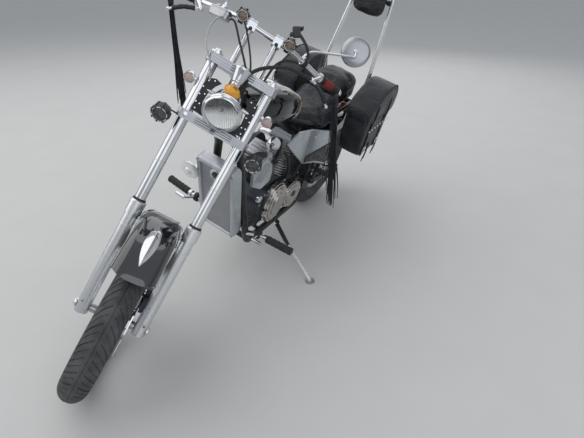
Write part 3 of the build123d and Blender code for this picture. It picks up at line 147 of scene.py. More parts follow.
# %% Node helper
class Graph:
    """A node tree and the one method that adds any node to it."""

    def __init__(self, tree):
        self.tree = tree

    def node(self, kind, settings=None, sockets=None):
        made = self.tree.nodes.new(kind)
        for key, value in (settings or {}).items():
            setattr(made, key, value)
        for key, value in (sockets or {}).items():
            socket = made.inputs[key]
            if isinstance(value, Wire):
                self.tree.links.new(value.socket, socket)
            elif isinstance(value, tuple) and socket.type == "RGBA":
                socket.default_value = (*value, 1) if len(value) == 3 else value
            else:
                socket.default_value = value
        return Made(self, made)

    def place(self, stretch=(1, 1, 1)):
        """Object coordinates in metres, stretched along each axis."""
        here = self.node("ShaderNodeTexCoord")["Object"]
        return self.node("ShaderNodeMapping", {}, {"Vector": here, "Scale": stretch})["Vector"]

    def axes(self):
        """Object coordinates one by one, as outputs X, Y and Z."""
        return self.node("ShaderNodeSeparateXYZ", {}, {0: self.place()})

    def noise(self, scale, detail=3, stretch=(1, 1, 1), rough=0.5):
        sockets = {"Vector": self.place(stretch), "Scale": scale, "Detail": detail, "Roughness": rough}
        return self.node("ShaderNodeTexNoise", {}, sockets)["Fac"]

    def pebbles(self, scale):
        return self.node("ShaderNodeTexVoronoi", {"feature": "SMOOTH_F1"}, {"Vector": self.place(), "Scale": scale})[0]

    def spread(self, value, low, high, first=0.0, last=1.0):
        """value from low..high becomes first..last, and stays there outside."""
        sockets = {"Value": value, "From Min": low, "From Max": high, "To Min": first, "To Max": last}
        return self.node("ShaderNodeMapRange", {}, sockets)["Result"]

    def blend(self, factor, first, second):
        return self.node("ShaderNodeMix", {"data_type": "RGBA"}, {0: factor, 6: first, 7: second})[2]

    def bump(self, height, depth):
        """depth is in metres."""
        return self.node("ShaderNodeBump", {}, {"Height": height, "Distance": depth, "Strength": 1.0})["Normal"]

    def scaled(self, vector, factor):
        return self.node("ShaderNodeVectorMath", {"operation": "SCALE"}, {0: vector, "Scale": factor})[0]


def finish(name, slot, recipe, **fixed):
    """A material: what recipe returns goes to the surface shader, and so do the fixed values; slot is not used."""
    material = bpy.data.materials.new(name)
    material.use_nodes = True
    material.node_tree.nodes.clear()
    graph = Graph(material.node_tree)
    sockets = {key.replace("_", " ").title().replace("Ior", "IOR"): value for key, value in fixed.items()}
    sockets.update(recipe(graph))
    shader = graph.node("ShaderNodeBsdfPrincipled", {}, sockets)["BSDF"]
    graph.node("ShaderNodeOutputMaterial", {}, {"Surface": shader})
    return material


print("shader helper ready")

# %% [markdown]
# ## Finishes
# Plain colours look like plastic toys. Almost every hard surface here is two close tones in soft clouds, a
# roughness that wanders and a very fine bump; leather, rubber and the cast fins need a recipe of their own.

# %% Recipes for metal, paint and leather
def worn(name, slot, base, second, scale, roughness, depth=0.0002, detail=4, bump_scale=None, **fixed):
    """Most hard finishes: two tones, a roughness that wanders and a fine bump, depth in metres."""

    def recipe(g):
        cloud = g.noise(scale, detail)
        fine = g.noise(bump_scale or scale * 8, 2)
        return {
            "Base Color": g.blend(g.spread(cloud, 0.35, 0.68), base, second),
            "Roughness": g.spread(cloud * 0.6 + fine * 0.4, 0.3, 0.7, *roughness),
            "Normal": g.bump(fine, depth),
        }

    return finish(name, slot, recipe, **fixed)


def hide(name, base, second, grain=260, crease_scale=9, roughness=(0.38, 0.6), crease=0.0025):
    """Leather: small pebbles, long soft creases and paler rubbed places."""

    def recipe(g):
        pebbles = g.pebbles(grain)
        folds = g.spread(g.noise(crease_scale, 5, (1, 1, 2.2), 0.62), 0.42, 0.58)
        rubbed = g.noise(14, 4)
        return {
            "Base Color": g.blend(g.spread(rubbed + pebbles * 0.2, 0.45, 0.8), base, second),
            "Roughness": g.spread(rubbed, 0.3, 0.7, *roughness),
            "Normal": g.bump(folds * 0.75 + pebbles * 0.25, crease),
        }

    return finish(name, "leather", recipe, specular_ior_level=0.42)


print("two recipes ready")


# %% Recipes for rubber and fins
def dusty_rubber(name, slot, base, dust, scale=22):
    """Matt rubber with paler patches of dust."""

    def recipe(g):
        patches, grit = g.noise(scale, 5), g.noise(420, 2)
        return {
            "Base Color": g.blend(g.spread(patches + grit * 0.3, 0.5, 0.85), base, dust),
            "Roughness": g.spread(patches, 0.3, 0.7, 0.62, 0.88),
            "Normal": g.bump(grit, 0.0004),
        }

    return finish(name, slot, recipe)


def finned(g):
    """Cast fins whose outer edges are polished: a face that looks away from the bore shows bright metal."""
    bore = BIKE.to_3x3() @ Vector((0, 0, 1))
    facing = g.node("ShaderNodeVectorMath", {"operation": "DOT_PRODUCT"}, {
        0: g.node("ShaderNodeNewGeometry")["Normal"], 1: tuple(bore.normalized())})["Value"]
    side = g.spread(facing * facing, 0.30, 0.18)
    cloud = g.noise(26, 4)
    return {
        "Base Color": g.blend(side * g.spread(cloud, 0.2, 0.6, 0.7, 1.0), (0.030, 0.033, 0.040), (0.42, 0.42, 0.43)),
        "Metallic": g.spread(side, 0, 1, 0.4, 0.95),
        "Roughness": g.spread(cloud, 0.3, 0.7, 0.28, 0.45),
        "Normal": g.bump(g.noise(220, 2), 0.0001),
    }


print("two more recipes ready")

# %% Metals and paints
CHROME = worn("chrome", "chrome", (0.74, 0.75, 0.77), (0.63, 0.64, 0.67), 9, (0.05, 0.11), 0.00001, metallic=1.0)
DULL_CHROME = worn("dull_chrome", "chrome", (0.74, 0.71, 0.67), (0.60, 0.56, 0.52), 14, (0.14, 0.22), 0.00001,
                   metallic=1.0)
SLIDER = worn("satin_slider", "aluminium", (0.82, 0.83, 0.84), (0.76, 0.77, 0.79), 4, (0.25, 0.31), 0.000003, 2, 30,
              metallic=0.85)
BILLET = worn("billet", "aluminium", (0.44, 0.45, 0.47), (0.36, 0.37, 0.40), 10, (0.26, 0.36), 0.00001, metallic=1.0)
BLACK_PAINT = worn("black_paint", "black_paint", (0.004, 0.004, 0.005), (0.011, 0.012, 0.014), 7, (0.10, 0.22), 0.00004,
                   coat_weight=1.0, coat_roughness=0.03, specular_ior_level=0.15)
FENDER_PAINT = worn("fender_paint", "black_paint", (0.004, 0.005, 0.007), (0.010, 0.012, 0.016), 6, (0.08, 0.16),
                    0.00002, coat_weight=1.0, coat_roughness=0.02, coat_ior=1.9, specular_ior_level=0.15)
FRAME_PAINT = worn("frame_paint", "frame_paint", (0.010, 0.010, 0.011), (0.030, 0.030, 0.032), 22, (0.25, 0.45), 0.0001)
ENGINE_DARK = worn("engine_dark", "dark_metal", (0.030, 0.036, 0.050), (0.075, 0.085, 0.105), 26, (0.3, 0.5), 0.0003,
                   metallic=0.4)
ENGINE_GREY = worn("engine_grey", "aluminium", (0.34, 0.35, 0.37), (0.20, 0.205, 0.22), 30, (0.28, 0.5), 0.0003,
                   metallic=0.85)
SILVER_PAINT = worn("silver_paint", "silver_paint", (0.56, 0.59, 0.62), (0.45, 0.48, 0.52), 12, (0.26, 0.38), 0.00005,
                    metallic=0.55)
FINNED = finish("finned_barrel", "dark_metal", finned)
RADIATOR_CORE = worn("radiator_core", "aluminium", (0.36, 0.37, 0.38), (0.22, 0.22, 0.23), 60, (0.35, 0.6), 0.0004,
                     metallic=0.7)
STEEL = worn("steel", "steel", (0.45, 0.45, 0.46), (0.24, 0.23, 0.22), 40, (0.25, 0.5), metallic=1.0)
PLATE_WHITE = worn("blank_plate", "silver_paint", (0.72, 0.72, 0.70), (0.58, 0.58, 0.56), 20, (0.3, 0.5), 0.0001)

# %% Leather, rubber, plastic and glass
LEATHER = hide("leather", (0.009, 0.010, 0.013), (0.026, 0.029, 0.036), roughness=(0.34, 0.52))
SEAT_LEATHER = hide("seat_leather", (0.008, 0.009, 0.011), (0.023, 0.025, 0.031), 300, 7, (0.3, 0.48), 0.0035)
TYRE = dusty_rubber("tyre", "tyre", (0.040, 0.041, 0.044), (0.100, 0.101, 0.106))
RUBBER = dusty_rubber("rubber", "rubber", (0.014, 0.014, 0.015), (0.040, 0.039, 0.038), 40)
GRIP_RED = dusty_rubber("grip_red", "rubber", (0.16, 0.010, 0.012), (0.26, 0.03, 0.03), 60)
PLASTIC = worn("black_plastic", "plastic", (0.012, 0.012, 0.013), (0.030, 0.030, 0.031), 35, (0.32, 0.5))
RED_LENS = worn("red_lens", "red_lens", (0.34, 0.008, 0.008), (0.22, 0.005, 0.005), 90, (0.08, 0.2), 0.0004,
                coat_weight=0.6)
AMBER_LENS = worn("amber_lens", "plastic", (0.52, 0.13, 0.01), (0.36, 0.07, 0.01), 90, (0.08, 0.2), 0.0004,
                  coat_weight=0.6)
CLEAR = worn("clear_glass", "glass", (0.92, 0.94, 0.95), (0.86, 0.89, 0.90), 30, (0.02, 0.06), 0.0001,
             transmission_weight=1.0, ior=1.45)
print(len(bpy.data.materials), "finishes")

# %% [markdown]
# ## A finish for every CAD piece
# Every CAD node gets a finish, also those that a finer piece will stand for, because both are kept.

# %% Dress the CAD
NODE_FINISH = {
    FRAME_PAINT: "frame_tubes swingarm", ENGINE_DARK: "crankcase air_cleaner front_caliper",
    FINNED: "front_cylinder rear_cylinder", ENGINE_GREY: "front_head rear_head", RADIATOR_CORE: "radiator",
    CHROME: "left_covers right_covers exhausts horn left_foot_control right_foot_control fork_tubes fender_ornament "
            "headlight speedometer risers handlebar bar_controls front_wheel rear_wheel",
    SILVER_PAINT: "radiator_shell side_covers", BLACK_PAINT: "fuel_tank rear_fender", FENDER_PAINT: "front_fender",
    SEAT_LEATHER: "rider_seat pillion_seat backrest_pad",
    LEATHER: "saddlebag_left saddlebag_right leather_wings tassels",
    SLIDER: "sissy_bar brake_plate fork_sliders side_stand", BILLET: "lower_clamp upper_clamp mirrors",
    RUBBER: "passenger_pegs grips cables", RED_LENS: "tail_lamp", STEEL: "plate_bracket chain rear_axle front_axle",
    CLEAR: "headlight_lens", PLASTIC: "small_lamps bar_lamps", TYRE: "front_tyre rear_tyre",
}
finish_of = {name: material for material, names in NODE_FINISH.items() for name in names.split()}
for name, node in frame["nodes"].items():
    node.data.materials.clear()
    node.data.materials.append(finish_of[name])
print(len(frame["nodes"]), "CAD pieces finished")

# %% [markdown]
# ## Drawing in millimetres
# Most hard pieces of a motorcycle are turned on a lathe, bent from tube or cut from plate. One small class
# draws those three on a board, closes every skin and turns its faces outwards, so that no piece is left open.

# %% Keeping a piece
def settle(mesh, name, body, replaced=(), bevel=0, levels=0, sharp=38):
    """Makes a mesh a piece that rides on a body; bevel is in millimetres."""
    for polygon in mesh.polygons:
        polygon.use_smooth = True
    if not bevel and not levels:
        mesh.set_sharp_from_angle(angle=radians(sharp))
    piece = bpy.data.objects.new(name, mesh)
    bpy.context.scene.collection.objects.link(piece)
    if bevel:
        edge = piece.modifiers.new("edge", "BEVEL")
        edge.width, edge.segments, edge.limit_method, edge.angle_limit = bevel / 1000, 2, "ANGLE", radians(32)
        edge.harden_normals = True
    if levels:
        smooth = piece.modifiers.new("smooth", "SUBSURF")
        smooth.levels = smooth.render_levels = levels
    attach(piece, body)
    if replaced:
        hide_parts(*replaced)
    return piece


def spun(turn, vector):
    """A vector carried by the rotation that turns Z to the way turn."""
    return Vector(turn).to_track_quat("Z", "Y") @ Vector(vector)


# %% Smooth paths
def curve_through(points, steps=8):
    """A smooth path through points (Catmull-Rom)."""
    points = [Vector(point) for point in points]
    last = len(points) - 1
    path = []
    for i in range(last):
        p = [points[min(max(i + k, 0), last)] for k in (-1, 0, 1, 2)]
        for k in range(steps):
            t = k / steps
            straight = p[1] * 2 + (p[2] - p[0]) * t
            bend = (p[0] * 2 - p[1] * 5 + p[2] * 4 - p[3]) * t * t
            path.append(0.5 * (straight + bend + (p[1] * 3 - p[0] - p[2] * 3 + p[3]) * t ** 3))
    return path + [points[-1]]


print("a path through 3 points gets", len(curve_through([(0, 0, 0), (1, 0, 0), (1, 1, 0)])), "points")

# %% Drawing helper
MERGE = 0.00002
SQUARE = ((-1, -1), (1, -1), (1, 1), (-1, 1))


class Form:
    """Points and faces drawn on one board, each face with the number of its finish."""

    def __init__(self, board=Matrix()):
        self.board, self.points, self.faces, self.slots = board, [], [], []

    def add(self, points, faces, slot=0):
        start = len(self.points)
        self.points += [tuple(point) for point in points]
        self.faces += [tuple(start + i for i in face) for face in faces]
        self.slots += [slot] * len(faces)
        return self

    def rings(self, rings, slot=0, loop=False):
        """A skin over rings of equally many points; its two ends are closed unless the rings loop."""
        count, n = len(rings), len(rings[0])
        faces = []
        for i in range(count if loop else count - 1):
            a, b = i * n, (i + 1) % count * n
            faces += [(a + k, a + (k + 1) % n, b + (k + 1) % n, b + k) for k in range(n)]
        if not loop:
            faces += [tuple(range(n))[::-1], tuple(range((count - 1) * n, count * n))]
        return self.add([point for ring in rings for point in ring], faces, slot)

    def lathe(self, profile, base, axis, steps=48):
        """Turns a closed profile of (radius, height) about an axis through base."""
        turn = Vector(axis).to_track_quat("Z", "Y")
        rings = []
        for i in range(steps):
            a = 2 * pi * i / steps
            rings.append([Vector(base) + turn @ Vector((r * cos(a), r * sin(a), h)) for r, h in profile])
        return self.rings(rings, loop=True)

    def collar(self, inner, outer, half, base, axis, steps=24, round_off=None):
        """A ring about a bar, its outer edges cut by round_off = (inwards, along) if given."""
        if round_off:
            cut, along = outer - round_off[0], half - round_off[1]
            skin = [(cut, -half), (outer, -along), (outer, along), (cut, half)]
        else:
            skin = [(outer, -half), (outer, half)]
        return self.lathe([(inner, -half), *skin, (inner, half)], base, axis, steps=steps)

    def tube(self, path, radius, slot=0, sides=12, loop=False, flat=1.0):
        """A round bar along a path; radius is one number or one for each point, flat squashes it."""
        path = [Vector(point) for point in path]
        count = len(path)
        radii = radius if isinstance(radius, (list, tuple)) else [radius] * count
        rings, across = [], None
        for i, point in enumerate(path):
            before = path[i - 1] if i or loop else path[0]
            after = path[(i + 1) % count] if i < count - 1 or loop else path[-1]
            way = (after - before).normalized()
            across = way.orthogonal() if across is None else across - way * across.dot(way)
            across = across.normalized()
            other = way.cross(across)
            turns = [2 * pi * k / sides for k in range(sides)]
            rings.append([point + (across * cos(a) + other * sin(a) * flat) * radii[i] for a in turns])
        return self.rings(rings, slot, loop)

    def bent(self, points, steps, radius, **settings):
        """A tube along the smooth path through some points."""
        return self.tube(curve_through(points, steps), radius, **settings)

    def slab(self, outline, thickness):
        """A flat outline of 3-D points, given a thickness vector."""
        outline = [Vector(point) for point in outline]
        return self.rings([outline, [point + Vector(thickness) for point in outline]])

    def box(self, centre, size, turn=(0, 0, 0)):
        """A block about its centre, turned in degrees about X, then Y, then Z."""
        about_x, about_y, about_z = (Matrix.Rotation(radians(angle), 3, axis) for angle, axis in zip(turn, "XYZ"))
        spin = about_z @ about_y @ about_x
        levels = [[Vector(centre) + spin @ Vector((x * size[0] / 2, y * size[1] / 2, z * size[2] / 2))
                   for x, y in SQUARE] for z in (-1, 1)]
        return self.rings(levels)

    def twin(self):
        """Adds the mirror image across the middle plane."""
        count = len(self.points)
        self.points += [(-x, y, z) for x, y, z in self.points]
        self.faces += [tuple(i + count for i in face) for face in self.faces]
        self.slots += self.slots
        return self

    def mesh(self, name, *finishes, board=None):
        """The form as a mesh, its doubles merged and its normals outwards; board replaces its own."""
        shape = bmesh.new()
        corners = [shape.verts.new((board or self.board) @ Vector(point)) for point in self.points]
        for face, slot in zip(self.faces, self.slots):
            shape.faces.new([corners[i] for i in face]).material_index = slot
        near = MERGE if board is None else MERGE * 1000
        bmesh.ops.remove_doubles(shape, verts=shape.verts, dist=near)
        bmesh.ops.recalc_face_normals(shape, faces=shape.faces)
        mesh = bpy.data.meshes.new(name)
        shape.to_mesh(mesh)
        shape.free()
        for material in finishes:
            mesh.materials.append(material)
        return mesh

    def piece(self, name, body, *finishes, **settings):
        return settle(self.mesh(name, *finishes), name, body, **settings)


print("drawing helper ready")

# %% [markdown]
# ## Geometry Nodes for what repeats
# Rivets, studs, stitches, bolts, tread and fringe repeat by a rule, so three small node trees make them: one
# sets a stamp along a path or on given points, one repeats a pitch about an axle, one grows strands. Each
# takes its sizes as named inputs, and its result is stored as a plain mesh, because an export drops instances.

# %% Growing helper
def tree(title, inputs):
    """A node tree with named inputs after Geometry; gives the graph and its group input."""
    made = bpy.data.node_groups.new(title, "GeometryNodeTree")
    made.interface.new_socket("Geometry", in_out="INPUT", socket_type="NodeSocketGeometry")
    made.interface.new_socket("Geometry", in_out="OUTPUT", socket_type="NodeSocketGeometry")
    for label, kind, value in inputs:
        socket = made.interface.new_socket(label, in_out="INPUT", socket_type="NodeSocket" + kind)
        if value is not None:
            socket.default_value = value
    graph = Graph(made)
    return graph, graph.node("NodeGroupInput")


def close_tree(graph, instances, material):
    real = graph.node("GeometryNodeRealizeInstances", {}, {"Geometry": instances})["Geometry"]
    done = graph.node("GeometryNodeSetMaterial", {}, {"Geometry": real, "Material": material})["Geometry"]
    graph.node("NodeGroupOutput", {}, {"Geometry": done})
    return graph.tree


def kept_vector(graph, name):
    return graph.node("GeometryNodeInputNamedAttribute", {"data_type": "FLOAT_VECTOR"}, {"Name": name})["Attribute"]


def result_of(thing):
    """A mesh of its own from what an object's modifiers make."""
    return bpy.data.meshes.new_from_object(thing.evaluated_get(bpy.context.evaluated_depsgraph_get()))


def grown(tree_made, name, mesh, board, body, material, values, **settings):
    """Runs a tree on a mesh drawn in millimetres and keeps the result as a piece on a body."""
    seed = bpy.data.objects.new(name + "_seed", mesh)
    bpy.context.scene.collection.objects.link(seed)
    modifier = seed.modifiers.new("grow", "NODES")
    modifier.node_group = tree_made
    for item in tree_made.interface.items_tree:
        if item.in_out == "INPUT" and item.name in values:
            modifier[item.identifier] = values[item.name]
        elif item.in_out == "INPUT" and item.name == "Finish":
            modifier[item.identifier] = material
    result = result_of(seed)
    seed.modifiers.remove(modifier)
    bpy.data.objects.remove(seed)
    result.transform(board)
    result.materials.clear()
    result.materials.append(material)
    result.polygons.foreach_set("material_index", [0] * len(result.polygons))
    result.name = name
    return settle(result, name, body, **settings)


print("growing helper ready")


# %% Stamping tree
def stamping_tree():
    """A stamp on each point of a path, or every Pitch along it, its Z along the attribute out."""
    g, given = tree("stamp along a path", [
        ("Stamp", "Object", None), ("Pitch", "Float", 0.0), ("Size", "Float", 1.0), ("Finish", "Material", None)])
    path = g.node("GeometryNodeMeshToCurve", {}, {"Mesh": given["Geometry"]})["Curve"]
    even = g.node("GeometryNodeResampleCurve", {"mode": "LENGTH"}, {"Curve": path, "Length": given["Pitch"]})["Curve"]
    evenly = g.node("FunctionNodeCompare", {"data_type": "FLOAT"}, {"A": given["Pitch"], "B": 0.001})["Result"]
    spots = g.node("GeometryNodeMeshToPoints", {}, {"Mesh": given["Geometry"]})["Points"]
    where = g.node("GeometryNodeSwitch", {"input_type": "GEOMETRY"}, {
        "Switch": evenly, "False": spots, "True": even})["Output"]
    along = g.node("GeometryNodeInputTangent")["Tangent"]
    turn = g.node("FunctionNodeAxesToRotation", {}, {
        "Primary Axis": kept_vector(g, "out"), "Secondary Axis": along})["Rotation"]
    stamp = g.node("GeometryNodeObjectInfo", {}, {"Object": given["Stamp"]})["Geometry"]
    set_on = g.node("GeometryNodeInstanceOnPoints", {}, {
        "Points": where, "Instance": stamp, "Rotation": turn, "Scale": given["Size"]})["Instances"]
    return close_tree(g, set_on, given["Finish"])


STAMPED = stamping_tree()
print(len(STAMPED.nodes), "nodes set a stamp")


# %% Turning tree
def turning_tree():
    """Copies of one pitch about the X axis."""
    g, given = tree("turn about the axle", [("Copies", "Int", 12), ("Finish", "Material", None)])
    spots = g.node("GeometryNodePoints", {}, {"Count": given["Copies"]})[0]
    angle = g.node("GeometryNodeInputIndex")["Index"] * (2 * pi) / given["Copies"]
    turn = g.node("ShaderNodeCombineXYZ", {}, {"X": angle})["Vector"]
    ring = g.node("GeometryNodeInstanceOnPoints", {}, {
        "Points": spots, "Instance": given["Geometry"], "Rotation": turn})[0]
    real = g.node("GeometryNodeRealizeInstances", {}, {"Geometry": ring})["Geometry"]
    joined = g.node("GeometryNodeMergeByDistance", {}, {"Geometry": real, "Distance": 0.05})["Geometry"]
    return close_tree(g, joined, given["Finish"])


TURNED = turning_tree()
print(len(TURNED.nodes), "nodes turn a pitch")


# %% Fringe tree
def fringe_tree():
    """Strands that hang from the origin down -Z, each with its own sway."""
    g, given = tree("hanging strands", [
        ("Strands", "Int", 40), ("Length", "Float", 500.0), ("Root", "Float", 8.0), ("Spread", "Float", 30.0),
        ("Thickness", "Float", 1.5), ("Seed", "Int", 1), ("Finish", "Material", None)])
    spots = g.node("GeometryNodePoints", {}, {"Count": given["Strands"]})[0]
    index = g.node("GeometryNodeInputIndex")["Index"]

    def chance(low, high, salt):
        return g.node("FunctionNodeRandomValue", {"data_type": "FLOAT_VECTOR"}, {
            "Min": low, "Max": high, "ID": index, "Seed": given["Seed"] + salt})["Value"]

    root = g.scaled(chance((-1, -1, 0), (1, 1, 0.4), 0), given["Root"])
    roots = g.node("GeometryNodeSetPosition", {}, {"Geometry": spots, "Offset": root})["Geometry"]
    line = g.node("GeometryNodeCurvePrimitiveLine", {}, {"Start": (0, 0, 0), "End": (0, 0, -1)})["Curve"]
    line = g.node("GeometryNodeResampleCurve", {"mode": "COUNT"}, {"Curve": line, "Count": 22})["Curve"]
    tall = g.scaled(chance((1, 1, 0.72), (1, 1, 1.0), 3), given["Length"])
    hung = g.node("GeometryNodeInstanceOnPoints", {}, {"Points": roots, "Instance": line, "Scale": tall})["Instances"]
    kept = g.node("GeometryNodeStoreNamedAttribute", {"data_type": "FLOAT_VECTOR", "domain": "INSTANCE"}, {
        "Geometry": hung, "Name": "lean", "Value": chance((-1, -1, 0), (1, 1, 0), 9)})["Geometry"]
    real = g.node("GeometryNodeRealizeInstances", {}, {"Geometry": kept})["Geometry"]
    reach = g.node("GeometryNodeSplineParameter")["Factor"]
    lean = kept_vector(g, "lean")
    away = g.scaled(lean, reach * given["Spread"])
    sway = g.scaled(lean, (reach * 9.0).wave() * reach * given["Spread"] * 0.16)
    moved = g.node("ShaderNodeVectorMath", {"operation": "ADD"}, {0: away, 1: sway})[0]
    swayed = g.node("GeometryNodeSetPosition", {}, {"Geometry": real, "Offset": moved})["Geometry"]
    ring = g.node("GeometryNodeCurvePrimitiveCircle", {}, {"Resolution": 5, "Radius": given["Thickness"]})["Curve"]
    strands = g.node("GeometryNodeCurveToMesh", {}, {
        "Curve": swayed, "Profile Curve": ring, "Fill Caps": True})["Mesh"]
    return close_tree(g, strands, given["Finish"])


FRINGE = fringe_tree()
print(len(FRINGE.nodes), "nodes grow strands")

# %% [markdown]
# Small fasteners are drawn once, about the origin, and the first tree sets them on points that carry the way
# out of the surface. A stamp isn't part of the machine: its object goes once the piece is made.

# %% Stamps
def path_mesh(name, points, outs, loop=False):
    """Points in millimetres with the way out at each, joined by edges."""
    mesh = bpy.data.meshes.new(name)
    edges = [(i, i + 1) for i in range(len(points) - 1)] + ([(len(points) - 1, 0)] if loop else [])
    mesh.from_pydata([tuple(point) for point in points], edges, [])
    outs = outs if isinstance(outs, list) else [outs] * len(points)
    mesh.attributes.new("out", "FLOAT_VECTOR", "POINT").data.foreach_set("vector", [v for out in outs for v in out])
    return mesh


def stamped(name, stamp_mesh, points, outs, board, body, material, pitch=0.0, size=1.0, loop=False):
    """One piece of equal stamps on points, or along the path through them when a pitch is given."""
    keeper = bpy.data.objects.new(name + "_stamp", stamp_mesh)
    values = {"Stamp": keeper, "Pitch": pitch, "Size": size}
    piece = grown(STAMPED, name, path_mesh(name + "_path", points, outs, loop), board, body, material, values)
    bpy.data.objects.remove(keeper)
    return piece


def turned_stamp(name, steps, *profiles):
    """A stamp turned about Z from one or more profiles; steps gives the sides of each."""
    form = Form()
    for profile, sides in zip(profiles, steps):
        form.lathe(profile, (0, 0, 0), (0, 0, 1), steps=sides)
    return form.mesh(name, board=Matrix())


STUD = turned_stamp("stud", (10,), [(0, -1), (4, -1), (4, 0.6), (2.8, 2.2), (0, 2.8)])
BOLT = turned_stamp("bolt", (16, 6), [(0, -2), (6.5, -2), (6.5, 0), (0, 0)],
                    [(0, 0), (4.6, 0), (4.6, 3.6), (4.0, 4.2), (0, 4.2)])
SOCKET_BOLT = turned_stamp("socket_bolt", (14,), [
    (0, -2), (5, -2), (5, 3.4), (4.4, 4), (2.6, 4), (2.4, 1.4), (0, 1.4)])
STITCH = Form().tube([(-2.4, 0, -0.2), (-1.6, 0, 0.7), (1.6, 0, 0.7), (2.4, 0, -0.2)], 0.55, sides=6).mesh(
    "stitch", board=Matrix())
print("four stamps ready")

# %% [markdown]
# ## Tyres
# A road tyre's tread is one short pattern that repeats round the wheel. Drawing one pitch, with columns of
# points that already follow the curved grooves, keeps the groove walls sharp on a light mesh. The turning
# tree then repeats it, and the seams between two pitches are merged.

# %% One pitch of tyre
TREAD_DEPTH, MIDDLE_DEPTH, MIDDLE_HALF = 3.6, 3.6 * 0.55, 2
GROOVE_FROM, GROOVE_TO = 12.5, 71
TREAD_COLUMNS = [0, 0.04, 0.06, 0.15, 0.17, 0.34, 0.54, 0.56, 0.61, 0.63, 0.82, 1.0]
GROOVE_SHARE = {0.06: 1.0, 0.15: 1.0, 0.56: 0.6, 0.61: 0.6}
TREAD_ROWS = [0, 1.5, 2.3, 12, 14, 24, 36, 50, 62, 70, 72, 80]


def tyre_pitch(sizes, copies, sweep):
    """One pitch about the X axis; sizes gives radius, crown, bead and half the rim's width."""
    radius, crown, bead, half = sizes
    shoulder, quarter = radius - crown, crown * pi / 2
    near = [s for s in TREAD_ROWS if s < quarter] + [quarter]
    across = sorted({-s for s in near} | set(near))
    wall = []
    for k in range(1, 9):
        t = k / 8
        wall.append((crown + (half - crown) * t ** 1.6 - 3 * sin(pi * t), shoulder + (bead - shoulder) * t))
    pitch, rings = 2 * pi / copies, []
    for column in TREAD_COLUMNS:
        ring = [(-x, r, 0.0) for x, r in reversed(wall)]
        for s in across:
            a, reach = s / crown, abs(s)
            dig = TREAD_DEPTH * GROOVE_SHARE.get(column, 0) if GROOVE_FROM < reach < GROOVE_TO else 0.0
            dig = MIDDLE_DEPTH if reach < MIDDLE_HALF else dig
            ring.append((sin(a) * (crown - dig), shoulder + cos(a) * (crown - dig), sweep * (reach / quarter) ** 1.4))
        ring += [(x, r, 0.0) for x, r in wall]
        rings.append([(x, r * cos((column + lag) * pitch), r * sin((column + lag) * pitch)) for x, r, lag in ring])
    n = len(rings[0])
    faces = [(i * n + k, i * n + (k + 1) % n, (i + 1) * n + (k + 1) % n, (i + 1) * n + k)
             for i in range(len(rings) - 1) for k in range(n)]
    return Form().add([p for ring in rings for p in ring], faces)


print("tread", TREAD_DEPTH, "mm deep")

# %% Tyres with tread
for place, board, centre, sizes, copies, sweep in (
    ("front", FORK, FRONT_CENTRE, (330.6, 55, 247, 36), 34, 1.5),
    ("rear", BIKE, REAR_CENTRE, (325.6, 85, 199, 58), 30, 1.1),
):
    name = f"{place}_tyre_skin"
    one = tyre_pitch(sizes, copies, sweep).mesh(name + "_pitch", board=Matrix())
    skin = grown(TURNED, name, one, board @ Matrix.Translation(centre), f"{place}_wheel_body", TYRE, {"Copies": copies},
                 sharp=34, replaced=(f"{place}_tyre",))
    print(name, len(skin.data.polygons), "faces")

# %% [markdown]
# ## Headlight
# The lamp is a bowl behind a fluted glass, painted bright below as a painted glare and dark above as painted
# shade. The glass is a thin domed shell with real thickness, and its flutes are a bump across it, because they
# are far finer than any mesh that is worth carrying.

# %% Lamp finishes
LAMP, LAMP_WAY = Vector((0, -168, 66)), Vector((0, -cos(RAKE), -sin(RAKE)))


def bowl_painted_glare(g):
    """A bowl painted dark above as painted shade and bright below as a painted glare, behind upright flutes that break
    its reflections into bars.
    """
    here = g.axes()
    flutes = (here["X"] * 700.0 + here["Y"] * 280.0).wave()
    middle = (FORK @ LAMP).z
    # painted glare and painted shade: the bowl's colour is near white below the lamp's middle and near black above it
    painted_shade_above = g.spread(here["Z"] + g.noise(30, 2) * 0.015, middle - 0.006, middle + 0.032)
    return {
        "Base Color": g.blend(painted_shade_above, (1.0, 1.0, 0.99), (0.05, 0.052, 0.055)),
        "Roughness": g.spread(g.noise(40, 2), 0.3, 0.7, 0.12, 0.22),
        "Normal": g.bump(flutes, 0.0012),
    }


def fluted(g):
    """Clear pressed glass with a faint ripple."""
    here = g.axes()
    flutes = (here["X"] * 520.0 + here["Y"] * 210.0).wave() * 0.5 + (here["Z"] * 340.0).wave() * 0.25
    return {
        "Base Color": g.blend(g.spread(g.noise(30, 2), 0.3, 0.7), (0.93, 0.94, 0.93), (0.86, 0.88, 0.87)),
        "Roughness": g.spread(g.noise(60, 2), 0.3, 0.7, 0.03, 0.07),
        "Normal": g.bump(flutes, 0.0004),
        "Alpha": g.spread(g.noise(90, 3), 0.3, 0.7, 0.03, 0.07),
    }


REFLECTOR_PAINTED_GLARE = finish("reflector", "chrome", bowl_painted_glare, metallic=0.25)
MIRROR_GLASS = worn("mirror_glass", "chrome", (0.86, 0.87, 0.88), (0.80, 0.81, 0.83), 8, (0.02, 0.05), 0.00001,
                    metallic=1.0)
FLUTED_GLASS = finish("fluted_glass", "glass", fluted, coat_weight=1.0, coat_roughness=0.03)
PINK_LENS = worn("pink_lens", "glass", (0.62, 0.46, 0.44), (0.50, 0.35, 0.34), 80, (0.08, 0.2), 0.0004, coat_weight=0.7)
BROWN_LENS = worn("brown_lens", "glass", (0.30, 0.22, 0.16), (0.16, 0.10, 0.06), 90, (0.06, 0.2), 0.0004,
                  coat_weight=0.8)
YELLOW = worn("yellow_enamel", "plastic", (0.86, 0.42, 0.01), (0.74, 0.33, 0.01), 40, (0.25, 0.4), 0.0003,
              coat_weight=0.5)

print("six lamp finishes")

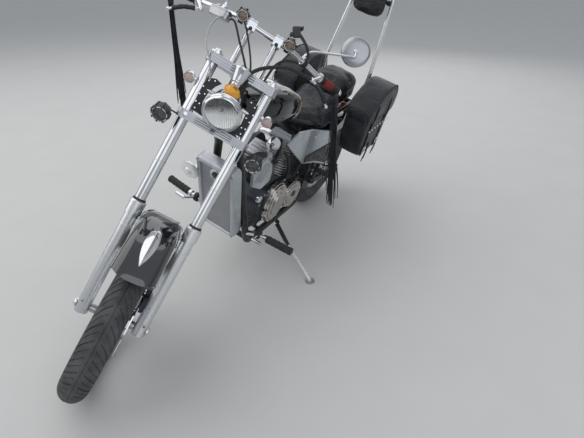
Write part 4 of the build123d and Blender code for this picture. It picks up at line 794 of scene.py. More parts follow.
# %% Headlight
bowl = [(0, -17), (20, -15), (40, -8), (54, 1), (60, 7), (60.6, 6), (56, -4), (42, -14), (22, -19), (0, -19.4)]
bulb = [(0, -15), (7, -15), (7, -4), (5, 1), (0, 3)]
glass = [(60, 8), (60, 11), (54, 15), (40, 19), (20, 21.5), (0, 22.2), (0, 20), (20, 19.4), (40, 17), (54, 13)]
rim = [(59, 6), (62, 15), (66, 17), (70, 13), (73, 3), (73.5, -8), (72, -10), (68, 2), (63, 8)]
Form(FORK).lathe(bowl, LAMP, LAMP_WAY).lathe(bulb, LAMP, LAMP_WAY, steps=20).piece(
    "headlight_reflector", "steering", REFLECTOR_PAINTED_GLARE)
Form(FORK).lathe(glass, LAMP, LAMP_WAY, steps=72).piece(
    "headlight_glass", "steering", FLUTED_GLASS, replaced=("headlight_lens",))
Form(FORK).lathe(rim, LAMP, LAMP_WAY, steps=72).box(LAMP + Vector((0, 40, -74)), (16, 14, 10), (36, 0, 0)).piece(
    "headlight_rim", "steering", CHROME)
print("headlight in three pieces")

# %% [markdown]
# ## Lamps beside it
# Six more lamps hang on the front: two rugged spot lamps under the lower clamp, two pink-lensed signals on
# the tubes and two small round ones above the bar. All are turned, with a ring, a lens and a few ribs.

# %% Spot lamps and signals
cups, rings, glasses, signals, signal_glass = (Form(FORK) for _ in range(5))
for side in (-1, 1):
    spot = Vector((side * 190, -96, -30))
    cups.lathe([(0, -27), (14, -27), (25, -18), (31, -4), (33, 10), (33, 27), (29, 29), (28, 14), (0, 12)],
               spot, LAMP_WAY, steps=32)
    for k in range(8):
        a = 2 * pi * k / 8
        out = spun(LAMP_WAY, (cos(a), sin(a), 0))
        rib = [spot + out * away + LAMP_WAY * along for away, along in ((22, -20), (32, -6), (34, 22), (29, 33))]
        cups.tube(rib, 3.4, sides=6)
    rings.lathe([(24, 20), (26, 30), (30, 31), (31, 26), (29, 20)], spot, LAMP_WAY)
    glasses.lathe([(0, 14), (25, 16), (25, 24), (16, 27.5), (0, 29)], spot, LAMP_WAY, steps=32)
    cups.box(spot + Vector((-side * 6, 16, 20)), (16, 34, 6))
    cups.box((side * 168, -78, -12), (50, 16, 6))
    small = Vector((side * 163, -72, 132))
    signals.lathe([(0, -24), (10, -22), (18, -8), (20.5, 12), (20.5, 17), (18, 18), (17, 10), (0, 8)],
                  small, LAMP_WAY, steps=32)
    signals.tube([(side * 122, -68, 132), (side * 150, -69, 132)], 6)
    signals.lathe([(5, -9), (9.5, -9), (9.5, 3), (5, 3)], (side * 140, -68, 132), (1, 0, 0), steps=16)
    signal_glass.lathe([(0, 9), (17.4, 11), (17.4, 17), (11, 21), (0, 22.5)], small, LAMP_WAY, steps=32)
cups.piece("spot_lamp_cups", "steering", PLASTIC, replaced=("small_lamps",))
rings.piece("spot_lamp_rings", "steering", CHROME)
glasses.piece("spot_lamp_glass", "steering", FLUTED_GLASS)
signals.piece("signal_lamps", "steering", CHROME)
signal_glass.piece("signal_glass", "steering", PINK_LENS)

print("two spot lamps and two signals")

# %% Lamps above the bar
bar_cups, bar_rings, bar_glass = (Form(FORK) for _ in range(3))
for side in (-1, 1):
    at, foot = Vector((side * 104, 4, 444)), (side * 104, 40, 432)
    bar_cups.lathe([(0, -21), (12, -20), (21, -9), (24, 8), (24, 19), (20, 20), (20, 8), (0, 6)],
                   at, LAMP_WAY, steps=32)
    bar_cups.tube([at + Vector((0, 8, 2)), at + Vector((0, 22, -4)), foot], 7)
    for k in range(6):
        a = 2 * pi * k / 6 + 0.3
        bar_cups.box(at + spun(LAMP_WAY, (24 * cos(a), 24 * sin(a), 2)), (7, 7, 7), (36, 0, 0))
    bar_cups.collar(11.3, 17, 10, foot, (1, 0, 0))
    bar_rings.lathe([(17.5, 14), (18, 21.5), (21, 22), (22.5, 18), (21, 14)], at, LAMP_WAY)
    bar_glass.lathe([(0, 8), (18, 10), (18, 16), (10, 20), (0, 21)], at, LAMP_WAY, steps=32)
bar_cups.piece("bar_lamp_cups", "steering", PLASTIC, replaced=("bar_lamps",))
bar_rings.piece("bar_lamp_rings", "steering", CHROME)
bar_glass.piece("bar_lamp_glass", "steering", BROWN_LENS)
print("two lamps above the bar")

# %% [markdown]
# ## Leather wings and the cup meter
# Two flat leather guards fill the gap between lamp and tubes, with a row of chrome rivets near the edge. The
# meter above them is a tapered cup turned in one go, and a small yellow knob stands on the headlight.

# %% Wings
WING = [(58, 24), (100, 28), (110, 60), (111, 120), (103, 158), (76, 170), (50, 164), (66, 142), (78, 108), (80, 70),
        (70, 44)]
WING_RIVETS = ((96, 38), (103, 62), (104, 92), (104, 122), (96, 150), (76, 160), (87, 100), (88, 60))
wings, rivets = Form(FORK), []
for side in (-1, 1):
    wings.slab([(side * x, -83, z) for x, z in WING], (0, -4.5, 0))
    rivets += [(side * x, -87.4, z) for x, z in WING_RIVETS]
wings.piece("lamp_wings", "steering", LEATHER, replaced=("leather_wings",), bevel=1.2)
stamped("wing_rivets", STUD, rivets, (0, -1, 0), FORK, "steering", CHROME)
print(len(rivets), "rivets on the wings")

# %% Meter and knob
meter_base, meter_up = Vector((-6, -138, 234)), Vector((0, 0.06, 1))
cup = [(0, -62), (15, -62), (17.5, -58), (17.5, -50), (20, -47), (22, -36), (30, -2), (32, 2), (32, 6), (28, 8),
       (26, 3), (0, 3)]
Form(FORK).lathe(cup, meter_base, meter_up, steps=56).lathe(
    [(17, -46), (21, -46), (21, -41), (17, -41)], meter_base, meter_up, steps=40).box(
    (-6, -110, 226), (24, 16, 12)).piece("meter_cup", "steering", CHROME, replaced=("speedometer",))
Form(FORK).lathe([(0, 3.2), (26, 3.2), (26, 5), (14, 6), (0, 6.2)], meter_base, meter_up, steps=40).piece(
    "meter_glass", "steering", BROWN_LENS)
knob, knob_way = Vector((-4, -163, 149)), (0.15, -0.5, 0.85)
Form(FORK).lathe([(0, -20), (18, -19), (28, -9), (29, 5), (22, 16), (0, 20)], knob, knob_way, steps=28).lathe(
    [(24, 0), (31, -2), (33, 4), (27, 6)], knob, knob_way, steps=28).piece("lamp_knob", "steering", YELLOW)
Form(FORK).lathe([(0, 4), (11, 6), (12, 16), (7, 22), (0, 24)], knob, knob_way, steps=24).piece(
    "lamp_knob_lens", "steering", AMBER_LENS)
print("meter and knob made")

# %% [markdown]
# ## Seats and backrest
# The rider's seat, the passenger pad and the backrest are leather over foam. Real covers are sewn tight and
# the foam pushes them out, so each starts as a plain block a little too small, and a short cloth run with
# pressure inside swells it. Wrinkles come after, because remeshing erases them.

# %% Padding helpers
QUICK_VOXEL, CLOTH_FRAMES, PRESSURE, STIFFNESS = 10, 20, 4.0, 12
PAD_FILL, BAG_FILL, LINE_STEP = 0.7, 0.3, 26
STITCH_THREAD = worn("thread", "leather", (0.030, 0.030, 0.032), (0.07, 0.07, 0.075), 60, (0.5, 0.7))


def block(stations, board):
    """A soft block through rounded sections, each (y, half width, low z, high z, corner)."""
    rings = []
    for y, half, low, high, corner in stations:
        side, top, foot = half - corner, high - corner, low + corner
        corners = ((side, top, 0), (-side, top, 90), (-side, foot, 180), (side, foot, 270))
        turns = [(x, z, radians(start + 30 * k)) for x, z, start in corners for k in range(4)]
        rings.append([(x + corner * cos(a), y, z + corner * sin(a)) for x, z, a in turns])
    return Form(board).rings(rings)


def places(mesh):
    found = np.empty(len(mesh.vertices) * 3)
    mesh.vertices.foreach_get("co", found)
    return found.reshape(-1, 3)


def swell(form, name, material, reach, voxel):
    """The form remeshed and blown up as cloth; no point moves more than reach millimetres."""
    start = bpy.data.objects.new(name + "_start", form.mesh(name + "_start", material))
    bpy.context.scene.collection.objects.link(start)
    remesh = start.modifiers.new("voxels", "REMESH")
    remesh.mode, remesh.voxel_size = "VOXEL", voxel / 1000
    even = result_of(start)
    start.modifiers.remove(remesh)
    start.data = even
    cloth = start.modifiers.new("foam", "CLOTH")
    settings = cloth.settings
    settings.use_pressure, settings.uniform_pressure_force = True, PRESSURE
    settings.effector_weights.gravity = 0
    settings.tension_stiffness = settings.compression_stiffness = STIFFNESS
    for at in range(1, CLOTH_FRAMES + 1):
        bpy.context.scene.frame_set(at)
    before, after = places(even), places(result_of(start))
    start.modifiers.remove(cloth)
    bpy.context.scene.frame_set(1)
    move = after - before
    length = np.linalg.norm(move, axis=1, keepdims=True)
    move *= np.minimum(1, reach / 1000 / np.maximum(length, 1e-9))
    even.vertices.foreach_set("co", (before + move).ravel())
    bpy.data.objects.remove(start)
    return even


print("cloth run of", CLOTH_FRAMES, "frames ready")


# %% Wrinkles
def ripple(x, y, z, size, seed=0.0):
    return noise.noise(Vector((x / size + seed, y / size, z / size)))


def soft_piece(form, name, material, reach, rule, replaced, voxel=6):
    """A padded piece of the frame; rule(x, y, z) moves each point outwards by millimetres for its wrinkles."""
    mesh = swell(form, name, material, reach, voxel)
    back = form.board.inverted()
    for vertex in mesh.vertices:
        vertex.co += vertex.normal * rule(*(back @ vertex.co)) / 1000
    mesh.update()
    mesh.materials.clear()
    mesh.materials.append(material)
    mesh.name = name
    settle(mesh, name, "frame", replaced, levels=1)


print("wrinkles ready")


# %% Seats
def rider_folds(x, y, z):
    side = max(0.0, min(1.0, (abs(x) - 70) / 60))
    radial = sin(y / 17 + 2.0 * ripple(x, y, z, 60)) * 1.6 * side
    return radial + ripple(x, y, z, 34) * 3.0 + ripple(x, y, z, 14, 7.0) * 1.0


def pillion_folds(x, y, z):
    return ripple(x, y, z, 42, 3.0) * 3.4 + sin((z + 30 * ripple(x, y, z, 80)) / 13) * 0.8


rider = block([
    (-592, 52, 800, 838, 18), (-575, 74, 790, 862, 28), (-530, 100, 778, 868, 36), (-470, 128, 765, 862, 40),
    (-400, 140, 745, 852, 44), (-340, 142, 738, 858, 44), (-290, 134, 742, 880, 44), (-256, 122, 752, 900, 40),
    (-248, 112, 765, 890, 34),
], BIKE)
pillion = block([
    (-236, 84, 800, 905, 30), (-215, 98, 792, 955, 42), (-150, 104, 790, 975, 46), (-60, 104, 790, 975, 46),
    (10, 98, 792, 955, 42), (38, 84, 800, 905, 30),
], BIKE)
soft_piece(rider, "rider_saddle", SEAT_LEATHER, 13, rider_folds, ("rider_seat",))
soft_piece(pillion, "pillion_pad", SEAT_LEATHER, 11, pillion_folds, ("pillion_seat",))
print("two seats")

# %% Backrest
HOOP_LOW, HOOP_HIGH = (52, 985), (124, 1365)
back_lean = atan2(HOOP_HIGH[0] - HOOP_LOW[0], HOOP_HIGH[1] - HOOP_LOW[1])
PAD = BIKE @ Matrix.Translation((0, 116, 1352)) @ Matrix.Rotation(-back_lean, 4, "X")
pad = block([(-56, 78, -72, 72, 36), (-50, 92, -88, 88, 44), (-26, 96, -92, 92, 46), (-18, 90, -86, 86, 44)], PAD)
soft_piece(pad, "backrest_cushion", SEAT_LEATHER, 8, lambda x, y, z: ripple(x, y, z, 40, 5.0) * 2.0,
           ("backrest_pad",), voxel=5)
board_outline = ((-84, -60), (-62, -84), (62, -84), (84, -60), (84, 60), (62, 84), (-62, 84), (-84, 60))
backing = Form(PAD).slab([(x, -16, z) for x, z in board_outline], (0, 5, 0)).box((0, -4, 0), (206, 18, 18))
backing.box((-96, 2, 0), (14, 26, 26)).box((96, 2, 0), (14, 26, 26))
backing.piece("backrest_board", "frame", PLASTIC, bevel=2)
print("backrest leans", round(back_lean * 180 / pi, 1), "degrees")

# %% [markdown]
# ## Saddlebags
# A leather bag over a stiff board keeps its outline but bulges between its seams. Body and lid are two shells;
# the lid overlaps, and carries a welt, a row of stitches, a row of studs, and straps that close on the body.

# %% Bag shells
BAG_LID = [(-238, 800), (-240, 868), (-200, 912), (-120, 948), (-30, 985), (50, 984), (120, 972), (176, 902),
           (176, 800)]
BAG_BODY = [(-222, 840), (164, 840), (168, 660), (138, 560), (-20, 552), (-150, 556), (-196, 640)]


def bag_shell(outline, inner, outer, bulge, edge, seed):
    """Rings between two planes through a side outline, domed outside; also its rounded line and middle."""
    outline = [Vector((0, y, z)) for y, z in outline]
    line = []
    for i, point in enumerate(outline):
        after = outline[(i + 1) % len(outline)]
        pieces = max(1, int((after - point).length / LINE_STEP))
        line += [point.lerp(after, k / pieces) for k in range(pieces)]
    for _ in range(2):
        line = [(line[i - 1] + line[i] * 2 + line[(i + 1) % len(line)]) / 4 for i in range(len(line))]
    middle = sum(line, Vector()) / len(line)
    rings = []
    for x, shrink in (
        (inner, 0.35), (inner, 0.8), (inner, 0.96), (inner + edge * 0.4, 1.0), ((inner + outer) / 2, 1.012),
        (outer - edge, 1.0), (outer - edge * 0.3, 0.975), (outer, 0.90), (outer + bulge * 0.45, 0.72),
        (outer + bulge * 0.8, 0.45), (outer + bulge, 0.2),
    ):
        ring = []
        for point in line:
            place = middle + (point - middle) * shrink
            soft, fine = (ripple(x, place.y, place.z, size, seed) for size in (70, 26))
            push = soft * 4.5 * min(1.0, shrink * 1.2) + fine * 1.6
            away = (point - middle).normalized()
            bulged = Vector((push * 0.55 if x > outer - 2 else 0, 0, 0))
            ring.append(Vector((x, 0, 0)) + place + away * push * 0.5 + bulged)
        rings.append(ring)
    return rings, line, middle


body_rings = bag_shell(BAG_BODY, 173, 316, 6, 20, 1.0)[0]
lid_rings, lid_line, lid_middle = bag_shell(BAG_LID, 172.6, 324, 4, 18, 4.0)


def on_lid(x, share_y, share_z):
    """The lid's line at x, drawn in towards its middle."""
    _, y, z = lid_middle
    return [Vector((x, y + (p.y - y) * share_y, z + (p.z - z) * share_z)) for p in lid_line]


print("bag shells of", len(body_rings), "and", len(lid_rings), "rings")

# %% Saddlebags
STRAP_SECTION = ((-2.4, -14), (2.0, -14), (2.0, 14), (-2.4, 14))
for side, place in ((1, "left"), (-1, "right")):
    BAG = BIKE @ Matrix.Diagonal((side, 1, 1, 1))
    seams, ties, straps, buckles = (Form(BAG) for _ in range(4))
    Form(BAG).rings(body_rings).piece(
        f"bag_body_{place}", "frame", LEATHER, replaced=(f"saddlebag_{place}",), levels=1)
    Form(BAG).rings(lid_rings).piece(f"bag_lid_{place}", "frame", LEATHER, levels=1)
    Form(BAG).tube(on_lid(318, 0.985, 0.985), 3.4, sides=8, loop=True).piece(f"bag_welt_{place}", "frame", LEATHER)
    stamped(f"bag_stitches_{place}", STITCH, on_lid(327.2, 0.90, 0.86), (1, 0, 0), BAG, "frame", STITCH_THREAD,
            pitch=7.5, loop=True)
    studs = [Vector((324, -150 + 300 * k / 7, 742)) for k in range(8)]
    stamped(f"bag_studs_{place}", STUD, studs, (1, 0, 0), BAG, "frame", CHROME, size=1.5)
    for inset in (0, 13):
        seams.bent([
            (182 + inset, -241, 806), (182 + inset, -243, 862 - inset), (200 + inset, -240, 876 - inset),
            (250, -238, 884 - inset), (300 - inset, -239, 876 - inset), (320 - inset, -238, 858 - inset),
            (324 - inset, -240, 806),
        ], 6, 1.8, sides=6)
    for y in (-64, 84):
        for drift, low in ((-12, 508), (10, 520)):
            ties.tube([(323, y, 640), (326, y + drift * 0.5, 580), (322, y + drift, low)], 3.4, sides=6)
    for y, top, shoulder in ((-130, 930, 918), (70, 960, 950)):
        path = [(250, y, top), (300, y, shoulder), (327, y, 900), (331, y, 850), (329, y, 800), (322, y, 740),
                (325, y, 690), (323, y + 4, 640), (321, y + 4, 590), (316, y + 6, 566)]
        straps.rings([[p + Vector((dx, dy, 0)) for dx, dy in STRAP_SECTION] for p in curve_through(path, 4)])
        for dz in (-15, 15):
            buckles.tube([(326, y - 20, 612 + dz), (326, y + 20, 612 + dz)], 2.8, sides=8)
        for dy in (-20, 20):
            buckles.tube([(326, y + dy, 597), (326, y + dy, 627)], 2.8, sides=8)
        buckles.tube([(328, y, 627), (328, y, 596)], 2.0, sides=8)
    seams.piece(f"bag_seams_{place}", "frame", STITCH_THREAD)
    ties.piece(f"bag_ties_{place}", "frame", LEATHER)
    straps.piece(f"bag_straps_{place}", "frame", LEATHER, bevel=1)
    buckles.piece(f"bag_buckles_{place}", "frame", CHROME)
print("two bags")

# %% [markdown]
# ## Bars, levers and what hangs from them
# The bar is one bent tube. On it sit grips with a red band, perches with levers in leather sleeves, a billet
# brake reservoir, mirrors on bent stems, and a fringe of thin leather strands at each end.

# %% Grips
GRIP_A, GRIP_B = Vector((275, 128, 425)), Vector((410, 182, 425))
GRIP_WAY = (GRIP_B - GRIP_A).normalized()
ridges = []
for k in range(30):
    r = 17.0 if k % 2 else 15.6
    ridges += [(r, 28 + k * 3.4), (r, 28 + k * 3.4 + 1.7)]
collar_ring = [(11.4, 20), (21, 20), (22, 25), (16, 30), (11.4, 30)]
band = [(14, 42), (17.6, 43), (18.6, 50), (18.2, 84), (17.4, 90), (14, 91)]
end_cap = [(0, 128), (15, 129), (17, 133), (15, 141), (8, 146), (0, 147)]
for name, material, stands_for, profiles in (
    ("grip_sleeves", RUBBER, ("grips",), ([(11.4, 26)] + ridges + [(11.4, 131)], collar_ring)),
    ("grip_bands", GRIP_RED, (), (band,)), ("grip_ends", DULL_CHROME, (), (end_cap,)),
):
    grip = Form(FORK)
    for profile in profiles:
        grip.lathe(profile, GRIP_A, GRIP_WAY, steps=36)
    grip.twin().piece(name, "steering", material, replaced=stands_for)
print("grips with", len(ridges) // 2, "ridges")

# %% Levers
perch, lever, sleeve = (Form(FORK) for _ in range(3))
hinge = GRIP_A + GRIP_WAY * 14 + Vector((-30, -60, -38))
clamp_at = GRIP_A + GRIP_WAY * 13
perch.collar(11.4, 21, 9, clamp_at, GRIP_WAY, 32, (1, 3))
perch.bent([clamp_at + Vector((0, -14, -4)), clamp_at + Vector((-14, -34, -20)), hinge], 4, [9] * 3 + [8] * 6)
perch.collar(0, 10, 9, hinge, (0.2, -0.2, 1), round_off=(1, 2))
perch.box(clamp_at + Vector((6, 18, 2)), (26, 14, 22), (0, 0, 21))
blade = curve_through([hinge, (284, 62, 374), (316, 58, 358), (342, 60, 338), (358, 66, 326)], 5)
lever.tube(blade, [8.0 - 2.2 * k / len(blade) for k in range(len(blade))], flat=0.62)
lever.lathe([(0, -8), (5, -7), (8, -2), (8, 3), (5, 7), (0, 8)], (362, 68, 323), (0.5, 0.2, -0.7), steps=20)
sleeve.tube(blade[4:18], [10.5 + 0.8 * sin(k * 1.9) for k in range(14)], sides=14, flat=0.72)
perch.twin().piece("lever_perches", "steering", CHROME, replaced=("bar_controls",), bevel=0.8)
lever.twin().piece("lever_blades", "steering", CHROME)
sleeve.twin().piece("lever_sleeves", "steering", LEATHER)
print("lever hinge at", [round(v) for v in hinge])

# %% [markdown]
# The brake reservoir is a smooth billet block with a lid held by two screws, clamped under the right side of
# the bar, its hose leaving towards the middle.

# %% Reservoir
TANK_TURN = Matrix.Rotation(radians(-30), 3, "Z")
TANK_AT = Vector((-184, 44, 404))
TANK_LEVELS = [(-17, 0.80, 0.70), (-13, 0.95, 0.92), (8, 1.0, 1.0), (14, 1.0, 1.0), (15, 0.93, 0.9), (16, 0.97, 0.95),
               (21, 0.97, 0.95), (23, 0.9, 0.84)]


def on_tank(x, y, z):
    return TANK_AT + TANK_TURN @ Vector((x, y, z))


def soft_corner(value, power):
    """A cosine or sine pushed outwards, which squares a circle off."""
    return copysign(abs(value) ** power, value)


turns = [2 * pi * k / 28 for k in range(28)]
rings = [[on_tank(47 * a * soft_corner(cos(t), 0.45), 22 * b * soft_corner(sin(t), 0.55), z) for t in turns]
         for z, a, b in TANK_LEVELS]
reservoir = Form(FORK).rings(rings)
reservoir.collar(11.4, 19, 10, (-200, 85, 430), (0.87, -0.49, 0), 30, (1, 3))
reservoir.tube([(-186, 52, 412), (-194, 72, 424)], 11)
reservoir.lathe([(0, 0), (6, 0), (6, 8), (4.5, 9), (4.5, 14), (0, 14)], on_tank(46, 0, 2),
                TANK_TURN @ Vector((1, 0, 0)), steps=20)
reservoir.piece("brake_reservoir", "steering", BILLET)
stamped("reservoir_screws", SOCKET_BOLT, [on_tank(-36, 0, 22), on_tank(36, 0, 22)], (0, 0, 1), FORK, "steering",
        CHROME, size=0.8)
print("reservoir of", len(rings), "rings")

# %% Mirrors and phone holder
MIRROR_AT, MIRROR_WAY = (352, 28, 566), (-0.25, -0.95, -0.1)
shell = [(54, -3), (58, -3.5), (60.5, 0), (60.5, 4), (58, 8), (50, 12), (34, 14.5), (16, 15.8), (0, 16), (0, 12),
         (30, 10), (52, 2)]
face = [(0, -1.2), (55, -1.2), (55, 3), (0, 3)]
stems, holder = Form(FORK), Form(FORK)
stems.bent([(184, 77, 436), (186, 76, 466), (206, 66, 486), (262, 44, 508), (326, 14, 530), (352, 2, 540),
            (352, 2, 552), (349, 9, 564)], 6, 4.6, sides=14)
stems.lathe([(0, -8), (9, -8), (10, -5), (10, 5), (7, 8), (7, 16), (0, 16)], (184, 77, 446), (0, 0, 1), steps=24)
stems.collar(11.4, 16, 8, (184, 77, 431), (0.87, 0.49, 0))
stems.lathe([(0, -4), (9, -4), (10, 0), (8, 8), (0, 12)], (349.5, 16, 565), MIRROR_WAY, steps=20)
Form(FORK).lathe(shell, MIRROR_AT, MIRROR_WAY, steps=72).twin().piece(
    "mirror_shells", "steering", BILLET, replaced=("mirrors",))
Form(FORK).lathe(face, MIRROR_AT, MIRROR_WAY, steps=72).twin().piece("mirror_glass", "steering", MIRROR_GLASS)
stems.twin().piece("mirror_stems", "steering", CHROME)
holder.bent([(192, 84, 432), (196, 76, 462), (162, 64, 492), (122, 60, 512)], 6, 8, flat=0.6)
holder.collar(11.4, 19, 11, (192, 84, 431), (0.87, 0.49, 0))
for centre, size in (((106, 58, 512), (30, 24, 40)), ((92, 56, 492), (10, 34, 12)), ((118, 56, 534), (10, 34, 12))):
    holder.box(centre, size, (0, -32, 0))
holder.piece("phone_holder", "steering", PLASTIC, bevel=2)
print("mirrors and a phone holder")

# %% [markdown]
# ## Cables and hoses
# Each cable leaves its perch, bends once under its own stiffness and goes in behind the lamp. They are held
# at both ends, so they are drawn as smooth curves through a few measured points.

# %% Cables
PALE_CABLE = worn("braided_hose", "rubber", (0.55, 0.55, 0.53), (0.34, 0.34, 0.33), 300, (0.3, 0.5), 0.0006,
                  metallic=0.4)
black_cables = Form(FORK)
for path, radius in (
    ([(-140, 18, 404), (-118, -6, 398), (-70, -44, 340), (-10, -84, 268), (24, -112, 214), (34, -116, 150)], 4.2),
    ([(-108, 8, 436), (-70, -6, 400), (-14, -50, 320), (18, -92, 256), (30, -104, 200), (34, -112, 140)], 3.6),
    ([(246, 66, 386), (196, 22, 372), (140, -40, 352), (84, -96, 312), (40, -128, 270), (14, -128, 222),
      (10, -112, 160)], 7.0),
    ([(170, 52, 410), (120, 0, 380), (92, -20, 340), (84, -30, 290), (82, -40, 252)], 5.0),
):
    black_cables.bent(path, 9, radius)
black_cables.piece("control_cables", "steering", RUBBER, replaced=("cables",))
Form(FORK).bent([(-150, 24, 394), (-176, 0, 386), (-186, -40, 330), (-168, -96, 262), (-128, -112, 214),
                 (-92, -110, 150)], 9, 3.2, sides=10).piece("brake_line", "steering", PALE_CABLE)
print("five cables")

# %% [markdown]
# ## Fringes
# Fringe is cut from one hide: dozens of narrow strands with a bound top, hanging plumb. The strand tree grows
# them from the grip ends, straight down in the parked machine, with a few loose ones beside the bundle.

# %% Fringes
for side, place, length, loose in ((1, "left", 545, 44.0), (-1, "right", 505, 22.0)):
    top = FORK @ Vector((side * 395, 136, 388))
    for name, strands, reach, root, spread, thickness, seed in (
        (f"fringe_{place}", 46, length, 9.0, 15.0, 2.0, 5 + side),
        (f"fringe_loose_{place}", 7, length * 0.94, 10.0, loose, 1.6, 21 + side),
    ):
        values = {"Strands": strands, "Length": reach, "Root": root, "Spread": spread, "Thickness": thickness,
                  "Seed": seed}
        grown(FRINGE, name, bpy.data.meshes.new(name + "_start"), Matrix.Translation(top) @ MILLIMETRE, "steering",
              LEATHER, values, replaced=("tassels",) if name == "fringe_left" else ())
    wrap = [FORK @ Vector((side * 404, 172, 416))] + [top + Vector((0, 0, z / 1000)) for z in (14, 2, -14, -34)]
    Form().tube(wrap, [0.006, 0.007, 0.0115, 0.0125, 0.011], sides=16).piece(
        f"fringe_binding_{place}", "steering", LEATHER)
print("two fringes")

# %% [markdown]
# ## Engine covers
# The left side of the engine shows two stacked polished covers, a round one over the drive and a tall one over
# the generator, with screws around their rims and a small black square plate. Each is a bevelled slab.

# %% Left covers
def capsule(centre, half, wide, turn):
    """A slot outline in the side view, (y, z) points."""
    points = []
    for end, start in ((1, -90), (-1, 90)):
        for k in range(15):
            a = radians(start + 180 * k / 14)
            points.append((end * half + wide * cos(a), wide * sin(a)))
    c, s = cos(radians(turn)), sin(radians(turn))
    return [(centre[0] + y * c - z * s, centre[1] + y * s + z * c) for y, z in points]


def side_slab(form, outline, inner, outer):
    return form.slab([(inner, y, z) for y, z in outline], (outer - inner, 0, 0))


def shrunk(outline, factor):
    y0 = sum(y for y, _ in outline) / len(outline)
    z0 = sum(z for _, z in outline) / len(outline)
    return [(y0 + (y - y0) * factor, z0 + (z - z0) * factor) for y, z in outline]


covers, rim = Form(BIKE), []
for outline, levels, rim_share, rim_x in (
    (capsule((-714, 392), 34, 88, 80),
     ((1.0, 86, 112), (0.955, 112, 124), (0.80, 124, 132), (0.56, 132, 139.5)), 0.90, 125),
    (capsule((-546, 372), 15, 84, -24), ((1.0, 86, 126), (0.94, 126, 134), (0.70, 134, 138)), 0.84, 135),
):
    for factor, inner, outer in levels:
        side_slab(covers, shrunk(outline, factor), inner, outer)
    rim += [(rim_x, y, z) for y, z in shrunk(outline, rim_share)[::5]]
covers.piece("engine_covers", "frame", DULL_CHROME, replaced=("left_covers",), bevel=2.2)
stamped("cover_screws", SOCKET_BOLT, rim, (1, 0, 0), BIKE, "frame", CHROME, size=1.05)
Form(BIKE).box((138, -546, 384), (3, 44, 34), (-24, 0, 0)).piece("cover_plate", "frame", PLASTIC, bevel=1)
print(len(rim), "screws on the covers")

# %% [markdown]
# The rocker covers and plug caps are drawn on a board of their own for each cylinder, with Z up its bore.

# %% Cylinder tops
TILT = radians(22.5)
for way, place in ((-1, "front"), (1, "rear")):
    bank = BIKE @ Matrix.Translation((0, -680, 400)) @ Matrix.Rotation(-way * TILT, 4, "X")
    cover = Form(bank)
    for half_x, half_y, low, high in ((67, 59, 311, 317), (60, 52, 317, 338), (55, 47, 338, 351)):
        cover.slab([(x * half_x, y * half_y, low) for x, y in SQUARE], (0, 0, high - low))
    for y in (-24, 0, 24):
        cover.tube([(-44, y, 350), (44, y, 350)], 5, sides=10)
    cover.piece(f"rocker_cover_{place}", "frame", BILLET, bevel=4)
    bolts = [(x, y, 317) for x in (-63.5, 63.5) for y in (-46, 0, 46)]
    stamped(f"rocker_bolts_{place}", BOLT, bolts, (0, 0, 1), bank, "frame", CHROME, size=0.55)
    Form(bank).lathe([(0, 0), (10, 0), (10, 16), (7, 18), (7, 40), (5, 44), (0, 44)], (72, 0, 300), (1, 0, 0.35),
                     steps=20).piece(f"plug_cap_{place}", "frame", RUBBER)
print("two rocker covers")

# %% [markdown]
# Between radiator and barrels sit a smooth slanted shield, polished caps and hoses; they fill the gaps that
# a bare V-twin would show. The bolts on the case edges come from the same stamp as those on the heads.

# %% Engine dressing
SHIELD = [(-812, 735), (-764, 607), (-768, 545), (-851, 528), (-936, 583), (-952, 669), (-880, 700)]
side_slab(Form(BIKE), SHIELD, 62, 80).piece("front_shield", "frame", SILVER_PAINT, bevel=5)
lines = Form(BIKE)
for k in range(6):
    back = Vector((0, 13 * k, -6 * k))
    lines.tube([Vector((80, -930, 610)) + back, Vector((80, -858, 696)) + back], 1.6, sides=6)
lines.piece("shield_lines", "frame", STEEL)
Form(BIKE).lathe([(0, 0), (30, 0), (34, 8), (34, 30), (28, 40), (0, 44)], (44, -770, 742), (0.5, -0.2, 0.8),
                 steps=32).lathe([(0, 0), (20, 0), (20, 14), (14, 20), (0, 22)], (78, -852, 470), (1, 0, 0.1),
                                 steps=28).piece("polished_caps", "frame", CHROME)
hoses = Form(BIKE)
for path, radius, sides in (
    ([(60, -1094, 716), (62, -1062, 748), (70, -1010, 766), (76, -952, 778), (84, -906, 762), (70, -872, 744),
      (52, -850, 728)], 13, 14),
    ([(78, -1010, 400), (96, -960, 360), (100, -900, 350), (84, -850, 360)], 13, 14),
    ([(90, -700, 700), (104, -660, 640), (100, -620, 560), (88, -600, 500)], 9, 12),
    ([(96, -560, 690), (112, -520, 620), (104, -500, 540), (90, -520, 470)], 9, 12),
):
    hoses.bent(path, 8, radius, sides=sides)
hoses.piece("engine_hoses", "frame", RUBBER)
CASE_BOLTS = ((-840, 350), (-836, 420), (-800, 470), (-640, 476), (-600, 476), (-470, 480), (-436, 452), (-436, 350),
              (-640, 290))
stamped("case_bolts", BOLT, [(x, y, z) for x in (86, -86) for y, z in CASE_BOLTS],
        [(x, 0, 0) for x in (1, -1) for _ in CASE_BOLTS], BIKE, "frame", CHROME, size=0.9)
print("engine dressed,", 2 * len(CASE_BOLTS), "case bolts")

# %% [markdown]
# ## Front fender, lamp drop and sliders
# The fender is a pressed sheet with rolled edges; a chrome bead follows its rim, and a faceted chrome drop
# sits on its crown. The sliders get bands, drain screws and the fender's bolts.

# %% Fender skin
FENDER = FORK @ Matrix.Translation((0, -FORK_OFFSET, -745))
FENDER_START, FENDER_STOP, FENDER_HALF, FENDER_CORNER = -42, 59, 80, 5.0


def at_angle(x, r, degrees):
    """A point at a height r over the fender's centre, turned forwards about the axle."""
    a = radians(degrees)
    return (x, -r * sin(a), r * cos(a))


